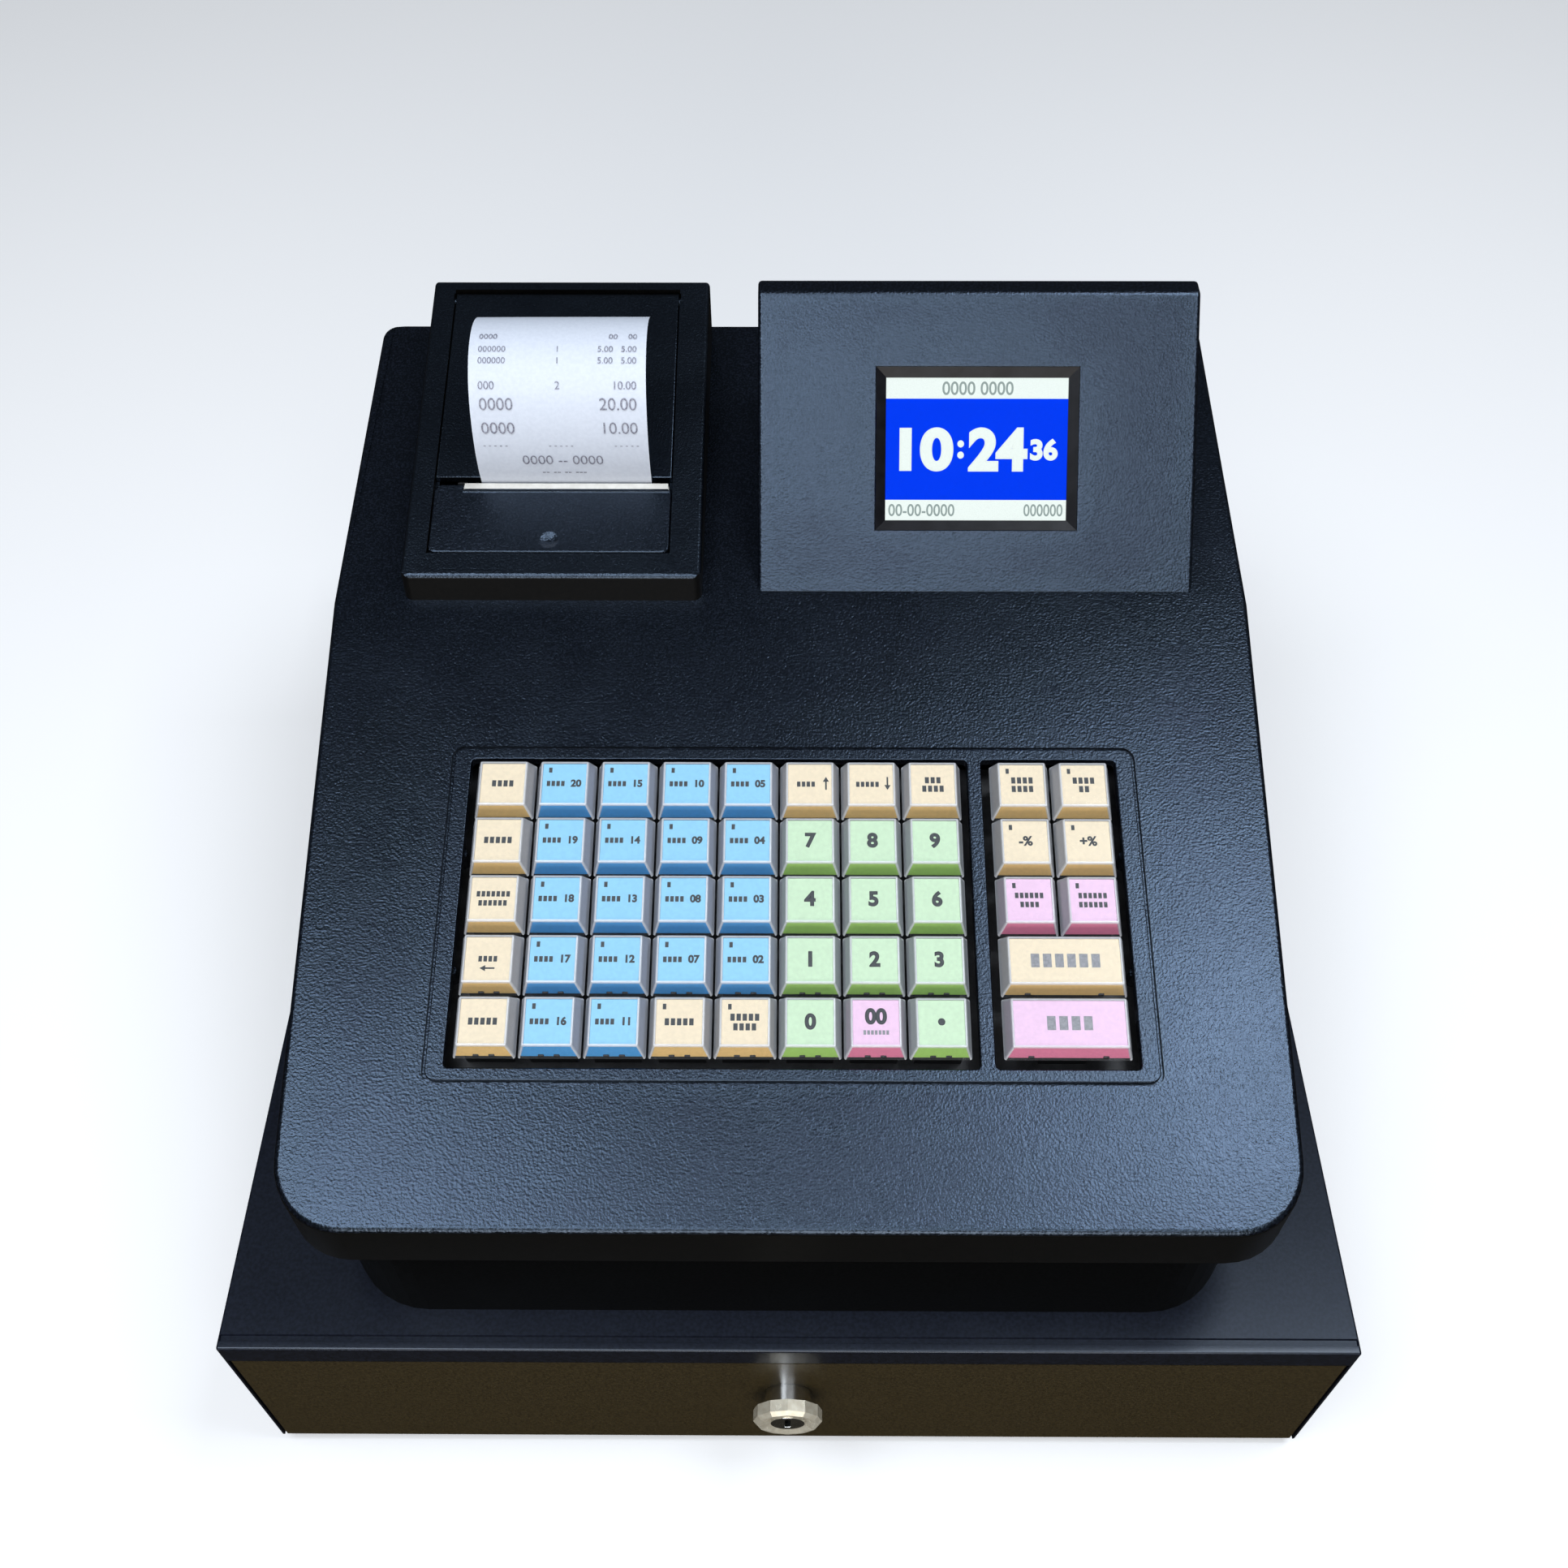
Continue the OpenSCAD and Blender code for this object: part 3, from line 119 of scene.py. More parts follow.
def softbox(name, place, aim, size, power, tint):
    """A rectangular area light at place that points at aim"""
    light = bpy.data.lights.new(name, "AREA")
    light.shape = "RECTANGLE"
    light.size, light.size_y = size
    light.energy = power
    light.color = tint
    lamp = bpy.data.objects.new(name, light)
    way = Vector(aim) - Vector(place)
    lamp.matrix_world = Matrix.Translation(place) @ way.to_track_quat("-Z", "Y").to_matrix().to_4x4()
    scene.collection.objects.link(lamp)


softbox("ceiling_left", (-0.60, -0.45, 1.6), (0, -0.15, 0.15), (0.8, 0.6), 10, (0.84, 0.91, 1))
softbox("ceiling_right", (0.62, -0.08, 1.6), (0, -0.10, 0.15), (0.6, 0.6), 10, (0.84, 0.91, 1))
softbox("ceiling_middle", (0, -0.38, 1.6), (0, -0.15, 0.15), (0.6, 0.4), 1.6, (0.84, 0.91, 1))
softbox("high_front", (0.05, -1.16, 1.6), (0, 0, 0.2), (1.4, 0.45), 9, (0.88, 0.93, 1))
softbox("front_fill", (0, -2.2, 0.8), (0, 0, 0.15), (1.4, 0.8), 18, (1, 0.97, 0.94))


# ---------------------------------------------------------------- cabinet
# A flat cash drawer's case, folded from 1.2 mm sheet steel and spot welded, with a
# smooth black powder coat. A seam runs along the top behind its folded front edge. It
# stands on four rubber feet screwed under its floor.
def shader_of(name, colour, rough, metal=0.0):
    """A new material with its base colour, roughness and metal set"""
    finish = bpy.data.materials.new(name)
    finish.use_nodes = True
    shader = finish.node_tree.nodes["Principled BSDF"]
    shader.inputs["Base Color"].default_value = (*colour, 1)
    shader.inputs["Roughness"].default_value = rough
    shader.inputs["Metallic"].default_value = metal
    return finish, shader


def speckle(finish, shader, dark, light, size, tone=(0.35, 0.65), bump=0.0, height=0.1 * mm):
    """Mottles the base colour between two tones and raises the same grain as a bump"""
    tree = finish.node_tree
    place = tree.nodes.new("ShaderNodeTexCoord")
    grain = tree.nodes.new("ShaderNodeTexNoise")
    grain.inputs["Scale"].default_value = 1 / size
    grain.inputs["Detail"].default_value = 2
    tree.links.new(place.outputs["Object"], grain.inputs["Vector"])
    ramp = tree.nodes.new("ShaderNodeValToRGB")
    ramp.color_ramp.elements[0].position, ramp.color_ramp.elements[1].position = tone
    ramp.color_ramp.elements[0].color = (*dark, 1)
    ramp.color_ramp.elements[1].color = (*light, 1)
    tree.links.new(grain.outputs["Fac"], ramp.inputs["Fac"])
    tree.links.new(ramp.outputs["Color"], shader.inputs["Base Color"])
    if bump:
        relief = tree.nodes.new("ShaderNodeBump")
        relief.inputs["Strength"].default_value = bump
        relief.inputs["Distance"].default_value = height
        tree.links.new(grain.outputs["Fac"], relief.inputs["Height"])
        tree.links.new(relief.outputs["Normal"], shader.inputs["Normal"])


def uneven_gloss(finish, shader, size, low, high):
    """Varies the roughness in soft patches, as handling and moulding leave it"""
    tree = finish.node_tree
    place = tree.nodes.new("ShaderNodeTexCoord")
    patch = tree.nodes.new("ShaderNodeTexNoise")
    patch.inputs["Scale"].default_value = 1 / size
    patch.inputs["Detail"].default_value = 3
    spread = tree.nodes.new("ShaderNodeMapRange")
    spread.inputs["To Min"].default_value = low
    spread.inputs["To Max"].default_value = high
    tree.links.new(place.outputs["Object"], patch.inputs["Vector"])
    tree.links.new(patch.outputs["Fac"], spread.inputs["Value"])
    tree.links.new(spread.outputs["Result"], shader.inputs["Roughness"])


def dress(finish, *names):
    """Gives CAD nodes a finish in every material slot"""
    for name in names:
        for place in nodes[name].material_slots:
            place.material = finish


def work_on(*pieces):
    """Selects these pieces alone and makes the first one active"""
    bpy.ops.object.select_all(action="DESELECT")
    for piece in pieces:
        piece.select_set(True)
    bpy.context.view_layer.objects.active = pieces[0]


def pick(piece, kind, wanted):
    """Opens the active piece for editing, with the edges or faces selected that wanted picks"""
    bpy.ops.object.mode_set(mode="EDIT")
    bpy.ops.mesh.select_mode(type=kind)
    bpy.ops.mesh.select_all(action="DESELECT")
    bpy.ops.object.mode_set(mode="OBJECT")
    for part in piece.data.edges if kind == "EDGE" else piece.data.polygons:
        part.select = wanted(part)
    bpy.ops.object.mode_set(mode="EDIT")


def copy_of(name, piece_name, finish):
    """A merged copy of a CAD node's mesh, which stands for it and is selected for work"""
    source = nodes[name]
    piece = bpy.data.objects.new(piece_name, source.data.copy())
    scene.collection.objects.link(piece)
    work_on(piece)
    piece.data.materials.clear()
    piece.data.materials.append(finish)
    for face in piece.data.polygons:
        face.material_index = 0
    if piece.data.has_custom_normals:
        bpy.ops.mesh.customdata_custom_splitnormals_clear()
    bpy.ops.object.mode_set(mode="EDIT")
    bpy.ops.mesh.select_all(action="SELECT")
    bpy.ops.mesh.remove_doubles(threshold=0.01 * mm)
    bpy.ops.mesh.dissolve_limited(angle_limit=math.radians(0.5))
    bpy.ops.object.mode_set(mode="OBJECT")
    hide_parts(name)
    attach(piece, source["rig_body"])
    return piece


def round_edges(piece, wanted, width, segments=3, sharper=25):
    """Bevels the edges that turn by more than an angle and that wanted(middle, normals) picks"""
    mesh = piece.data
    sides = {}
    for face in mesh.polygons:
        for key in face.edge_keys:
            sides.setdefault(key, []).append(face.normal.copy())

    def sharp_and_wanted(edge):
        normals = sides.get(tuple(sorted(edge.vertices)), [])
        if len(normals) != 2 or normals[0].angle(normals[1], 0) < math.radians(sharper):
            return False
        ends = [mesh.vertices[v].co for v in edge.vertices]
        return wanted((ends[0] + ends[1]) / 2, normals)

    work_on(piece)
    pick(piece, "EDGE", sharp_and_wanted)
    bpy.ops.mesh.bevel(offset=width, offset_type="OFFSET", segments=segments, affect="EDGES",
                       clamp_overlap=False)
    bpy.ops.object.mode_set(mode="OBJECT")


def smooth(piece, angle=32):
    """Shades round edges smooth, and keeps the flat faces beside them flat"""
    work_on(piece)
    bpy.ops.object.shade_smooth_by_angle(angle=math.radians(angle))
    even = piece.modifiers.new("even", "WEIGHTED_NORMAL")
    even.keep_sharp = True
    bpy.ops.object.modifier_apply(modifier="even")


coat_dark = (0.004, 0.0048, 0.009)
coat_light = (0.009, 0.011, 0.020)
cabinet_paint, paint_shader = shader_of("cabinet_paint", coat_dark, 0.28)
speckle(cabinet_paint, paint_shader, coat_dark, coat_light, 1.1 * mm, bump=0.25, height=0.05 * mm)
paint_shader.inputs["Specular Tint"].default_value = (0.72, 0.84, 1, 1)
paint_shader.inputs["Coat Weight"].default_value = 0.25
paint_shader.inputs["Coat Roughness"].default_value = 0.16
uneven_gloss(cabinet_paint, paint_shader, 35 * mm, 0.26, 0.36)

cab_lo, cab_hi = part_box("cabinet_cover")
cover = copy_of("cabinet_cover", "cabinet_case", cabinet_paint)
fold_r = 0.8 * mm
# An edge this near to an outer side belongs to it, and one this near to a flat face lies in it
by_side = 0.2 * mm
in_face = 0.1 * mm


def outer_fold(middle, normals):
    near_side = abs(middle.x) > cab_hi.x - by_side
    near_end = middle.y < cab_lo.y + by_side or middle.y > cab_hi.y - by_side
    near_top = middle.z > cab_hi.z - by_side
    return near_top or (near_side and near_end)


round_edges(cover, outer_fold, fold_r)
seam_at = (2.6 * mm, 2.9 * mm, 4.5 * mm, 4.8 * mm)
seam_deep = 0.8 * mm
bpy.ops.object.mode_set(mode="EDIT")
for distance in seam_at:
    bpy.ops.mesh.select_all(action="SELECT")
    bpy.ops.mesh.bisect(plane_co=(0, cab_lo.y + distance, 0), plane_no=(0, 1, 0))
bpy.ops.object.mode_set(mode="OBJECT")
for vertex in cover.data.vertices:
    inside_seam = cab_lo.y + seam_at[0] + 0.1 * mm < vertex.co.y < cab_lo.y + seam_at[3] - 0.1 * mm
    if inside_seam and vertex.co.z > cab_hi.z - 0.02 * mm:
        vertex.co.z -= seam_deep
smooth(cover)
dress(cabinet_paint, "cabinet_base")

rubber, rubber_shader = shader_of("foot_rubber", (0.02, 0.02, 0.02), 0.82)
speckle(rubber, rubber_shader, (0.012, 0.012, 0.012), (0.03, 0.03, 0.03), 0.6 * mm, bump=0.4)
dress(rubber, "rubber_feet")

# ---------------------------------------------------------------- drawer
# The drawer's steel tray runs on telescopic slides of bright zinc plated steel. Its
# folded front has an olive brown coat, a little more matt than the case's.
drawer_paint, drawer_shader = shader_of("drawer_paint", (0.038, 0.027, 0.010), 0.36)
speckle(drawer_paint, drawer_shader, (0.028, 0.019, 0.006), (0.052, 0.037, 0.013), 0.9 * mm, bump=0.3,
        height=0.05 * mm)
drawer_shader.inputs["Specular IOR Level"].default_value = 0.45
uneven_gloss(drawer_paint, drawer_shader, 40 * mm, 0.3, 0.4)
front_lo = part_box("drawer_front")[0]
lock_clear = 15 * mm
front = copy_of("drawer_front", "drawer_face", drawer_paint)
round_edges(front, lambda p, n: p.y < front_lo.y + by_side and abs(p.x) > lock_clear, 0.7 * mm)
smooth(front)
dress(cabinet_paint, "drawer_tray")

zinc, zinc_shader = shader_of("zinc_plate", (0.55, 0.57, 0.6), 0.3, 0.9)
speckle(zinc, zinc_shader, (0.45, 0.47, 0.5), (0.62, 0.64, 0.66), 3 * mm, bump=0.1)
uneven_gloss(zinc, zinc_shader, 12 * mm, 0.22, 0.4)
dress(zinc, "slide_rails", "drawer_runners", "clip_rod", "latch_plunger", "case_screws", "print_head")

# Money trays: black ABS mouldings with coin cups in front and bill bays behind. A
# sprung clip of spring steel on a rod holds the bills down in each bay.
tray_plastic, tray_shader = shader_of("tray_plastic", (0.02, 0.02, 0.022), 0.45)
speckle(tray_plastic, tray_shader, (0.014, 0.014, 0.016), (0.03, 0.03, 0.033), 0.5 * mm, bump=0.5,
        height=0.08 * mm)
uneven_gloss(tray_plastic, tray_shader, 30 * mm, 0.4, 0.55)
for name in ("coin_tray", "bill_tray"):
    rim_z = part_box(name)[1].z
    tray = copy_of(name, name + "_moulding", tray_plastic)
    round_edges(tray, lambda p, n: abs(p.z - rim_z) < 0.2 * mm, 0.5 * mm, 2)
    smooth(tray)
spring_steel, spring_shader = shader_of("spring_steel", (0.12, 0.12, 0.13), 0.35, 0.7)
speckle(spring_steel, spring_shader, (0.09, 0.09, 0.1), (0.15, 0.15, 0.16), 2 * mm, bump=0.1)
uneven_gloss(spring_steel, spring_shader, 10 * mm, 0.3, 0.45)
dress(spring_steel, "bill_clip_1", "bill_clip_2", "bill_clip_3", "bill_clip_4")

copper, copper_shader = shader_of("solenoid_coil", (0.35, 0.16, 0.06), 0.35, 0.6)
speckle(copper, copper_shader, (0.28, 0.12, 0.04), (0.5, 0.25, 0.1), 0.4 * mm, bump=0.4)
dress(copper, "drawer_solenoid")

# ---------------------------------------------------------------- lock
# A cam lock: a chromed barrel, a satin nickel head dished in twelve facets and a chromed plug with a
# keyway; the head's warm cream tone, half of it diffuse, is partly a painted reflection. The barrel is
# nutted to the drawer's front and the plug turns in it.
chrome, chrome_shader = shader_of("lock_chrome", (0.82, 0.82, 0.80), 0.14, 1)
speckle(chrome, chrome_shader, (0.74, 0.74, 0.72), (0.90, 0.90, 0.88), 2 * mm, bump=0.05)
uneven_gloss(chrome, chrome_shader, 4 * mm, 0.08, 0.2)
head_metal_and_sheen, head_shader = shader_of("lock_nickel_sheen", (0.80, 0.73, 0.58), 0.25, 0.5)
speckle(head_metal_and_sheen, head_shader, (0.70, 0.63, 0.49), (0.82, 0.76, 0.61), 2 * mm, bump=0.05)
uneven_gloss(head_metal_and_sheen, head_shader, 4 * mm, 0.2, 0.32)
barrel_lo, barrel_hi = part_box("lock_barrel")
plug_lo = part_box("lock_plug")[0]
lock_z = (barrel_lo.z + barrel_hi.z) / 2
head_r = (barrel_hi.z - barrel_lo.z) / 2
barrel_r = 7.5 * mm
plug_r = 5.5 * mm
head_t = 4.8 * mm
bezel_t = 1.2 * mm
rim_w = 0.8 * mm
dish_deep = 2.2 * mm
plug_gap = 0.15 * mm
nut_t = 4 * mm
nut_wider = 3 * mm
nut_behind = 2.7 * mm
facets = 12


def turned(name, radius, near, far, finish, sides=48):
    """A cylinder along Y between two places on the lock's axis"""
    bpy.ops.object.select_all(action="DESELECT")
    bpy.ops.mesh.primitive_cylinder_add(vertices=sides, radius=radius, depth=far - near,
                                        location=(0, (near + far) / 2, lock_z),
                                        rotation=(math.radians(90), 0, 0))
    piece = bpy.context.object
    piece.name = name
    bpy.ops.object.transform_apply(location=True, rotation=True, scale=True)
    piece.data.materials.append(finish)
    return piece


def soften(piece, width):
    """Bevels the sharp edges of a piece in two steps"""
    edge = piece.modifiers.new("edge", "BEVEL")
    edge.width = width
    edge.segments = 2
    work_on(piece)
    bpy.ops.object.modifier_apply(modifier="edge")


head = turned("lock_head", head_r, barrel_lo.y, barrel_lo.y + head_t, head_metal_and_sheen, facets)
pick(head, "FACE", lambda face: face.normal.y < -0.9)
bpy.ops.mesh.bevel(offset=bezel_t, segments=1, affect="EDGES")
bpy.ops.object.mode_set(mode="OBJECT")
pick(head, "FACE", lambda face: face.normal.y < -0.9)
bpy.ops.mesh.inset(thickness=rim_w)
bpy.ops.mesh.inset(thickness=head_r - bezel_t - rim_w - plug_r - plug_gap)
bpy.ops.transform.translate(value=(0, dish_deep, 0))
bpy.ops.mesh.delete(type="FACE")
bpy.ops.mesh.select_all(action="SELECT")
bpy.ops.mesh.normals_make_consistent(inside=False)
bpy.ops.object.mode_set(mode="OBJECT")
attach(head, "drawer")

barrel = turned("lock_body", barrel_r, barrel_lo.y + head_t, barrel_hi.y, chrome)
nut_y = front_lo.y + nut_behind
nut = turned("lock_nut", barrel_r + nut_wider, nut_y, nut_y + nut_t, zinc, 6)
for piece in (barrel, nut):
    soften(piece, 0.3 * mm)
    smooth(piece)
    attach(piece, "drawer")
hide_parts("lock_barrel")

plug = copy_of("lock_plug", "lock_plug_face", chrome)
round_edges(plug, lambda p, n: p.y < plug_lo.y + 0.2 * mm, 0.25 * mm, 2)
smooth(plug)

# ---------------------------------------------------------------- base
# The register's lower shell, black ABS with rounded corners, whose near-black, almost unglossy finish is
# also painted shade for the dark under the upper shell. The main board stands on its posts beside the power
# supply, and six screws hold the upper shell to its flange.
base_black_and_shade, base_shader = shader_of("base_black_and_shade", (0.001, 0.001, 0.001), 0.6)
speckle(base_black_and_shade, base_shader, (0.0005, 0.0005, 0.0005), (0.002, 0.002, 0.002), 0.9 * mm, bump=0.4,
        height=0.08 * mm)
base_shader.inputs["Specular IOR Level"].default_value = 0.08
uneven_gloss(base_black_and_shade, base_shader, 30 * mm, 0.55, 0.68)
dress(base_black_and_shade, "base_housing")

board_green, board_shader = shader_of("board_green", (0.02, 0.09, 0.045), 0.35)
speckle(board_green, board_shader, (0.012, 0.06, 0.03), (0.03, 0.13, 0.06), 2.5 * mm, tone=(0.45, 0.55))
dress(board_green, "mainboard")
metal_case, metal_shader = shader_of("supply_case", (0.4, 0.41, 0.42), 0.4, 0.85)
speckle(metal_case, metal_shader, (0.33, 0.34, 0.35), (0.47, 0.48, 0.5), 4 * mm, bump=0.15)
dress(metal_case, "power_supply", "feed_motor")

# ---------------------------------------------------------------- housing
# The register's upper shell, one injection moulding of charcoal ABS with a fine spark
# eroded grain. Its keyboard panel slopes up to a crease, and the flatter deck runs back.
shell_lo, shell_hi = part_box("top_housing")
skirt_h = 20.5 * mm
panel_slope = math.radians(13.3)
lip_z = shell_lo.z + skirt_h
corner_r = 21 * mm
side_run = 143 * mm
rear_run = 7 * mm
shell_tones = ((0.0008, 0.0010, 0.0018), (0.007, 0.009, 0.015))


def charcoal(name, dark, light, rough):
    """Grained charcoal ABS: a mottle of two tones, a fine grain and a bluish, uneven gloss"""
    finish, shader = shader_of(name, dark, rough)
    shader.inputs["Specular IOR Level"].default_value = 0.85
    shader.inputs["Specular Tint"].default_value = (0.56, 0.74, 1, 1)
    speckle(finish, shader, dark, light, 0.75 * mm, tone=(0.45, 0.70), bump=1, height=0.15 * mm)
    uneven_gloss(finish, shader, 22 * mm, rough - 0.05, rough + 0.06)
    return finish


housing_plastic = charcoal("housing_plastic", *shell_tones, 0.24)
shell = copy_of("top_housing", "upper_shell", housing_plastic)


def shell_rim(middle, normals):
    ups = sorted(n.z for n in normals)
    outside = (abs(middle.x) > side_run or middle.y < shell_lo.y + corner_r
               or middle.y > shell_hi.y - rear_run)
    return outside and ups[1] > 0.9 and abs(ups[0]) < 0.3 and middle.z > lip_z - mm


round_edges(shell, shell_rim, 1.8 * mm, 4)
round_edges(shell, lambda p, n: abs(p.z - shell_lo.z) < in_face and min(n[0].z, n[1].z) < -0.9
            and (abs(p.x) > side_run or p.y < shell_lo.y + corner_r), 0.6 * mm, 2)
# The steep walls' dark brownish tone is painted shade and a painted reflection of the room in front
wall_plastic_shaded, wall_shader = shader_of("wall_plastic_shaded", (0.003, 0.0026, 0.002), 0.5)
speckle(wall_plastic_shaded, wall_shader, (0.002, 0.0018, 0.0014), (0.004, 0.0034, 0.0026), 1.1 * mm, bump=0.2,
        height=0.05 * mm)
wall_shader.inputs["Specular IOR Level"].default_value = 0.25
uneven_gloss(wall_plastic_shaded, wall_shader, 30 * mm, 0.42, 0.56)


def smooth_walls(piece):
    """Gives a moulding's steep walls, which can't hold the spark grain, a plainer finish whose dark
    brownish tone is painted shade and a painted reflection of the room in front
    """
    piece.data.materials.append(wall_plastic_shaded)
    for face in piece.data.polygons:
        if abs(face.normal.z) < 0.4:
            face.material_index = 1


smooth_walls(shell)
smooth(shell)

# ---------------------------------------------------------------- keyboard frame
# A charcoal bezel snapped into the panel, with a window for each block of keys. Under
# it a black circuit board carries a square switch for each key.
bezel_plastic = charcoal("bezel_plastic", *shell_tones, 0.26)
panel = (Matrix.Translation((0, shell_lo.y, lip_z)) @ Matrix.Rotation(panel_slope, 4, "X"))
to_panel = panel.inverted()
bezel = copy_of("key_bezel", "key_frame", bezel_plastic)
round_edges(bezel, lambda p, n: (to_panel @ p).z > 0.9 * mm, 0.45 * mm, 3)
smooth(bezel)
switch_plastic, switch_shader = shader_of("switch_plastic", (0.012, 0.012, 0.013), 0.5)
speckle(switch_plastic, switch_shader, (0.005, 0.005, 0.006), (0.014, 0.014, 0.016), 1.2 * mm, bump=0.2)
dress(switch_plastic, "key_switches")
# The board's near-black mask is also painted shade: it darkens the gaps between the keys, where the deep
# window lies in shadow
board_black_and_shade, mask_shader = shader_of("board_black_and_shade", (0.004, 0.004, 0.005), 0.45)
speckle(board_black_and_shade, mask_shader, (0.003, 0.003, 0.004), (0.009, 0.009, 0.011), 2.5 * mm, tone=(0.45, 0.55))
dress(board_black_and_shade, "keyboard_pcb")

# ---------------------------------------------------------------- keys
# Each key is a clear moulded cap over a coloured insert that shows through it. Digits are
# printed on the inserts; the other keys carry plain numbers, signs and rows of blocks.
pitch = 19.05 * mm
left_columns = 8
column_1 = [to_panel @ v.co for v in nodes["key_column_1"].data.vertices]
cap_lo = Vector(min(p[i] for p in column_1) for i in range(3))
cap_top = max(p.z for p in column_1)
key_x = [(to_panel @ v.co).x for v in nodes["digit_key_5"].data.vertices]
key_base = max(key_x) - min(key_x)
key_draft = 3.6 * mm
key_top = key_base - key_draft
cap_h = 7.4 * mm
block_x = cap_lo.x - (pitch - key_base) / 2
rows_y = cap_lo.y - (pitch - key_base) / 2
cash_x = [(to_panel @ v.co).x for v in nodes["cash_key"].data.vertices]
right_x = min(cash_x) - (pitch - key_base) / 2
cap_wall = 0.6 * mm
shell_wall = 0.35 * mm
face_z = cap_top - 0.55 * mm
insert_lift = 0.15 * mm
hook_size = (1.7 * mm, 0.6 * mm, 1.5 * mm)
hook_y = 0.65 * mm - key_base / 2
hook_z = cap_top - cap_h + 0.8 * mm
hook_x = {1: 2.3 * mm, 2: 10.9 * mm}
digit_size = 6.2 * mm
number_size = 3.2 * mm
sign_size = 4.2 * mm
wide_block_h = 4.2 * mm
block_h = 2.1 * mm
low_block_h = 1.75 * mm
row_drop = 2.9 * mm
ink_t = 0.04 * mm


def key_place(column, row):
    """Centre of a key on the panel; columns 8 and 9 are the right block"""
    start = block_x if column < left_columns else right_x - left_columns * pitch
    return start + (column + 0.5) * pitch, rows_y + (row + 0.5) * pitch


def polycarbonate(name, tint, alpha, rough):
    """Clear or frosted polycarbonate that lets the insert show through"""
    finish, shader = shader_of(name, tint, rough)
    shader.inputs["Alpha"].default_value = alpha
    shader.inputs["Coat Weight"].default_value = 0.5
    shader.inputs["Coat Roughness"].default_value = 0.08
    speckle(finish, shader, [0.94 * t for t in tint], tint, 1.5 * mm)
    return finish


cap_clear = polycarbonate("cap_clear", (0.95, 0.97, 0.98), 0.03, 0.15)
# The caps' steep sides are frosted, and their pale grey tone is also a painted reflection
cap_frost_and_sheen = polycarbonate("cap_frost_and_sheen", (0.74, 0.76, 0.80), 0.42, 0.3)
# The bevels along a cap's corners and rim get a whitish, less clear finish: a painted highlight along the
# edges
cap_edge_highlight = polycarbonate("cap_edge_highlight", (0.95, 0.96, 0.98), 0.5, 0.2)

# Tones of the printed face, of the front skirt and of the skirt's other sides. The front's darker, more
# saturated tone is painted shade, and the sides' paler, greyer tone is a painted reflection through the
# cap's flanks
insert_tones_and_shades = {
    "cream": ((0.92, 0.77, 0.54), (0.95, 0.62, 0.22), (0.74, 0.60, 0.42)),
    "blue": ((0.28, 0.64, 0.88), (0.06, 0.38, 0.80), (0.34, 0.46, 0.70)),
    "green": ((0.62, 0.82, 0.55), (0.42, 0.72, 0.14), (0.46, 0.60, 0.40)),
    "pink": ((0.90, 0.60, 0.80), (0.92, 0.24, 0.40), (0.70, 0.36, 0.50)),
}
insert_finish = {}
for tone, colours in insert_tones_and_shades.items():
    trio = []
    for part, colour in zip(("face", "front", "side"), colours):
        finish, shader = shader_of(f"insert_{tone}_{part}", colour, 0.5)
        speckle(finish, shader, [0.93 * c for c in colour], colour, 1.2 * mm, bump=0.1)
        trio.append(finish)
    insert_finish[tone] = trio
print_ink, ink_shader = shader_of("print_ink", (0.008, 0.014, 0.018), 0.6)
speckle(print_ink, ink_shader, (0.006, 0.010, 0.014), (0.014, 0.02, 0.026), 0.8 * mm)
pale_ink, pale_shader = shader_of("pale_ink", (0.25, 0.25, 0.27), 0.5)
speckle(pale_ink, pale_shader, (0.21, 0.21, 0.23), (0.30, 0.30, 0.32), 0.8 * mm)


def plain_block(name, size, middle):
    """A block of three sizes about its middle"""
    bpy.ops.object.select_all(action="DESELECT")
    bpy.ops.mesh.primitive_cube_add(size=1, location=middle)
    piece = bpy.context.object
    piece.name = name
    piece.scale = size
    bpy.ops.object.transform_apply(location=True, rotation=True, scale=True)
    return piece


def tapered(name, bottom, top, low, high, finishes):
    """A block on the panel that narrows from its bottom to its top, still in panel axes"""
    piece = plain_block(name, (*bottom, high - low), (0, 0, (low + high) / 2))
    for finish in finishes:
        piece.data.materials.append(finish)
    for vertex in piece.data.vertices:
        if vertex.co.z > (low + high) / 2:
            vertex.co.x *= top[0] / bottom[0]
            vertex.co.y *= top[1] / bottom[1]
    return piece


def key_cap(name, span):
    """The clear shell: a tapered block with bevelled edges, open below, with a real wall"""
    extra = (span - 1) * pitch
    cap = tapered(name, (key_base + extra, key_base), (key_top + extra, key_top),
                  cap_top - cap_h, cap_top, (cap_frost_and_sheen, cap_clear, cap_edge_highlight))
    pick(cap, "EDGE", lambda edge: max(cap.data.vertices[v].co.z for v in edge.vertices) > cap_top - mm)
    bpy.ops.mesh.bevel(offset=0.6 * mm, segments=2, affect="EDGES")
    bpy.ops.object.mode_set(mode="OBJECT")
    # Steep sides take the frosted finish, whose pale grey is partly a painted reflection; the top and the
    # front take the clear one; the bevels take the whitish edge finish, a painted highlight
    steep = 0.93
    for face in cap.data.polygons:
        side = max(abs(face.normal.x), abs(face.normal.y)) > steep
        window = face.normal.z > 0.95 or face.normal.y < -steep
        face.material_index = 1 if window else 0 if side else 2
    pick(cap, "FACE", lambda face: face.normal.z < -0.9)
    bpy.ops.mesh.delete(type="FACE")
    bpy.ops.object.mode_set(mode="OBJECT")
    wall = cap.modifiers.new("wall", "SOLIDIFY")
    wall.thickness = shell_wall
    bpy.ops.object.modifier_apply(modifier="wall")
    return cap


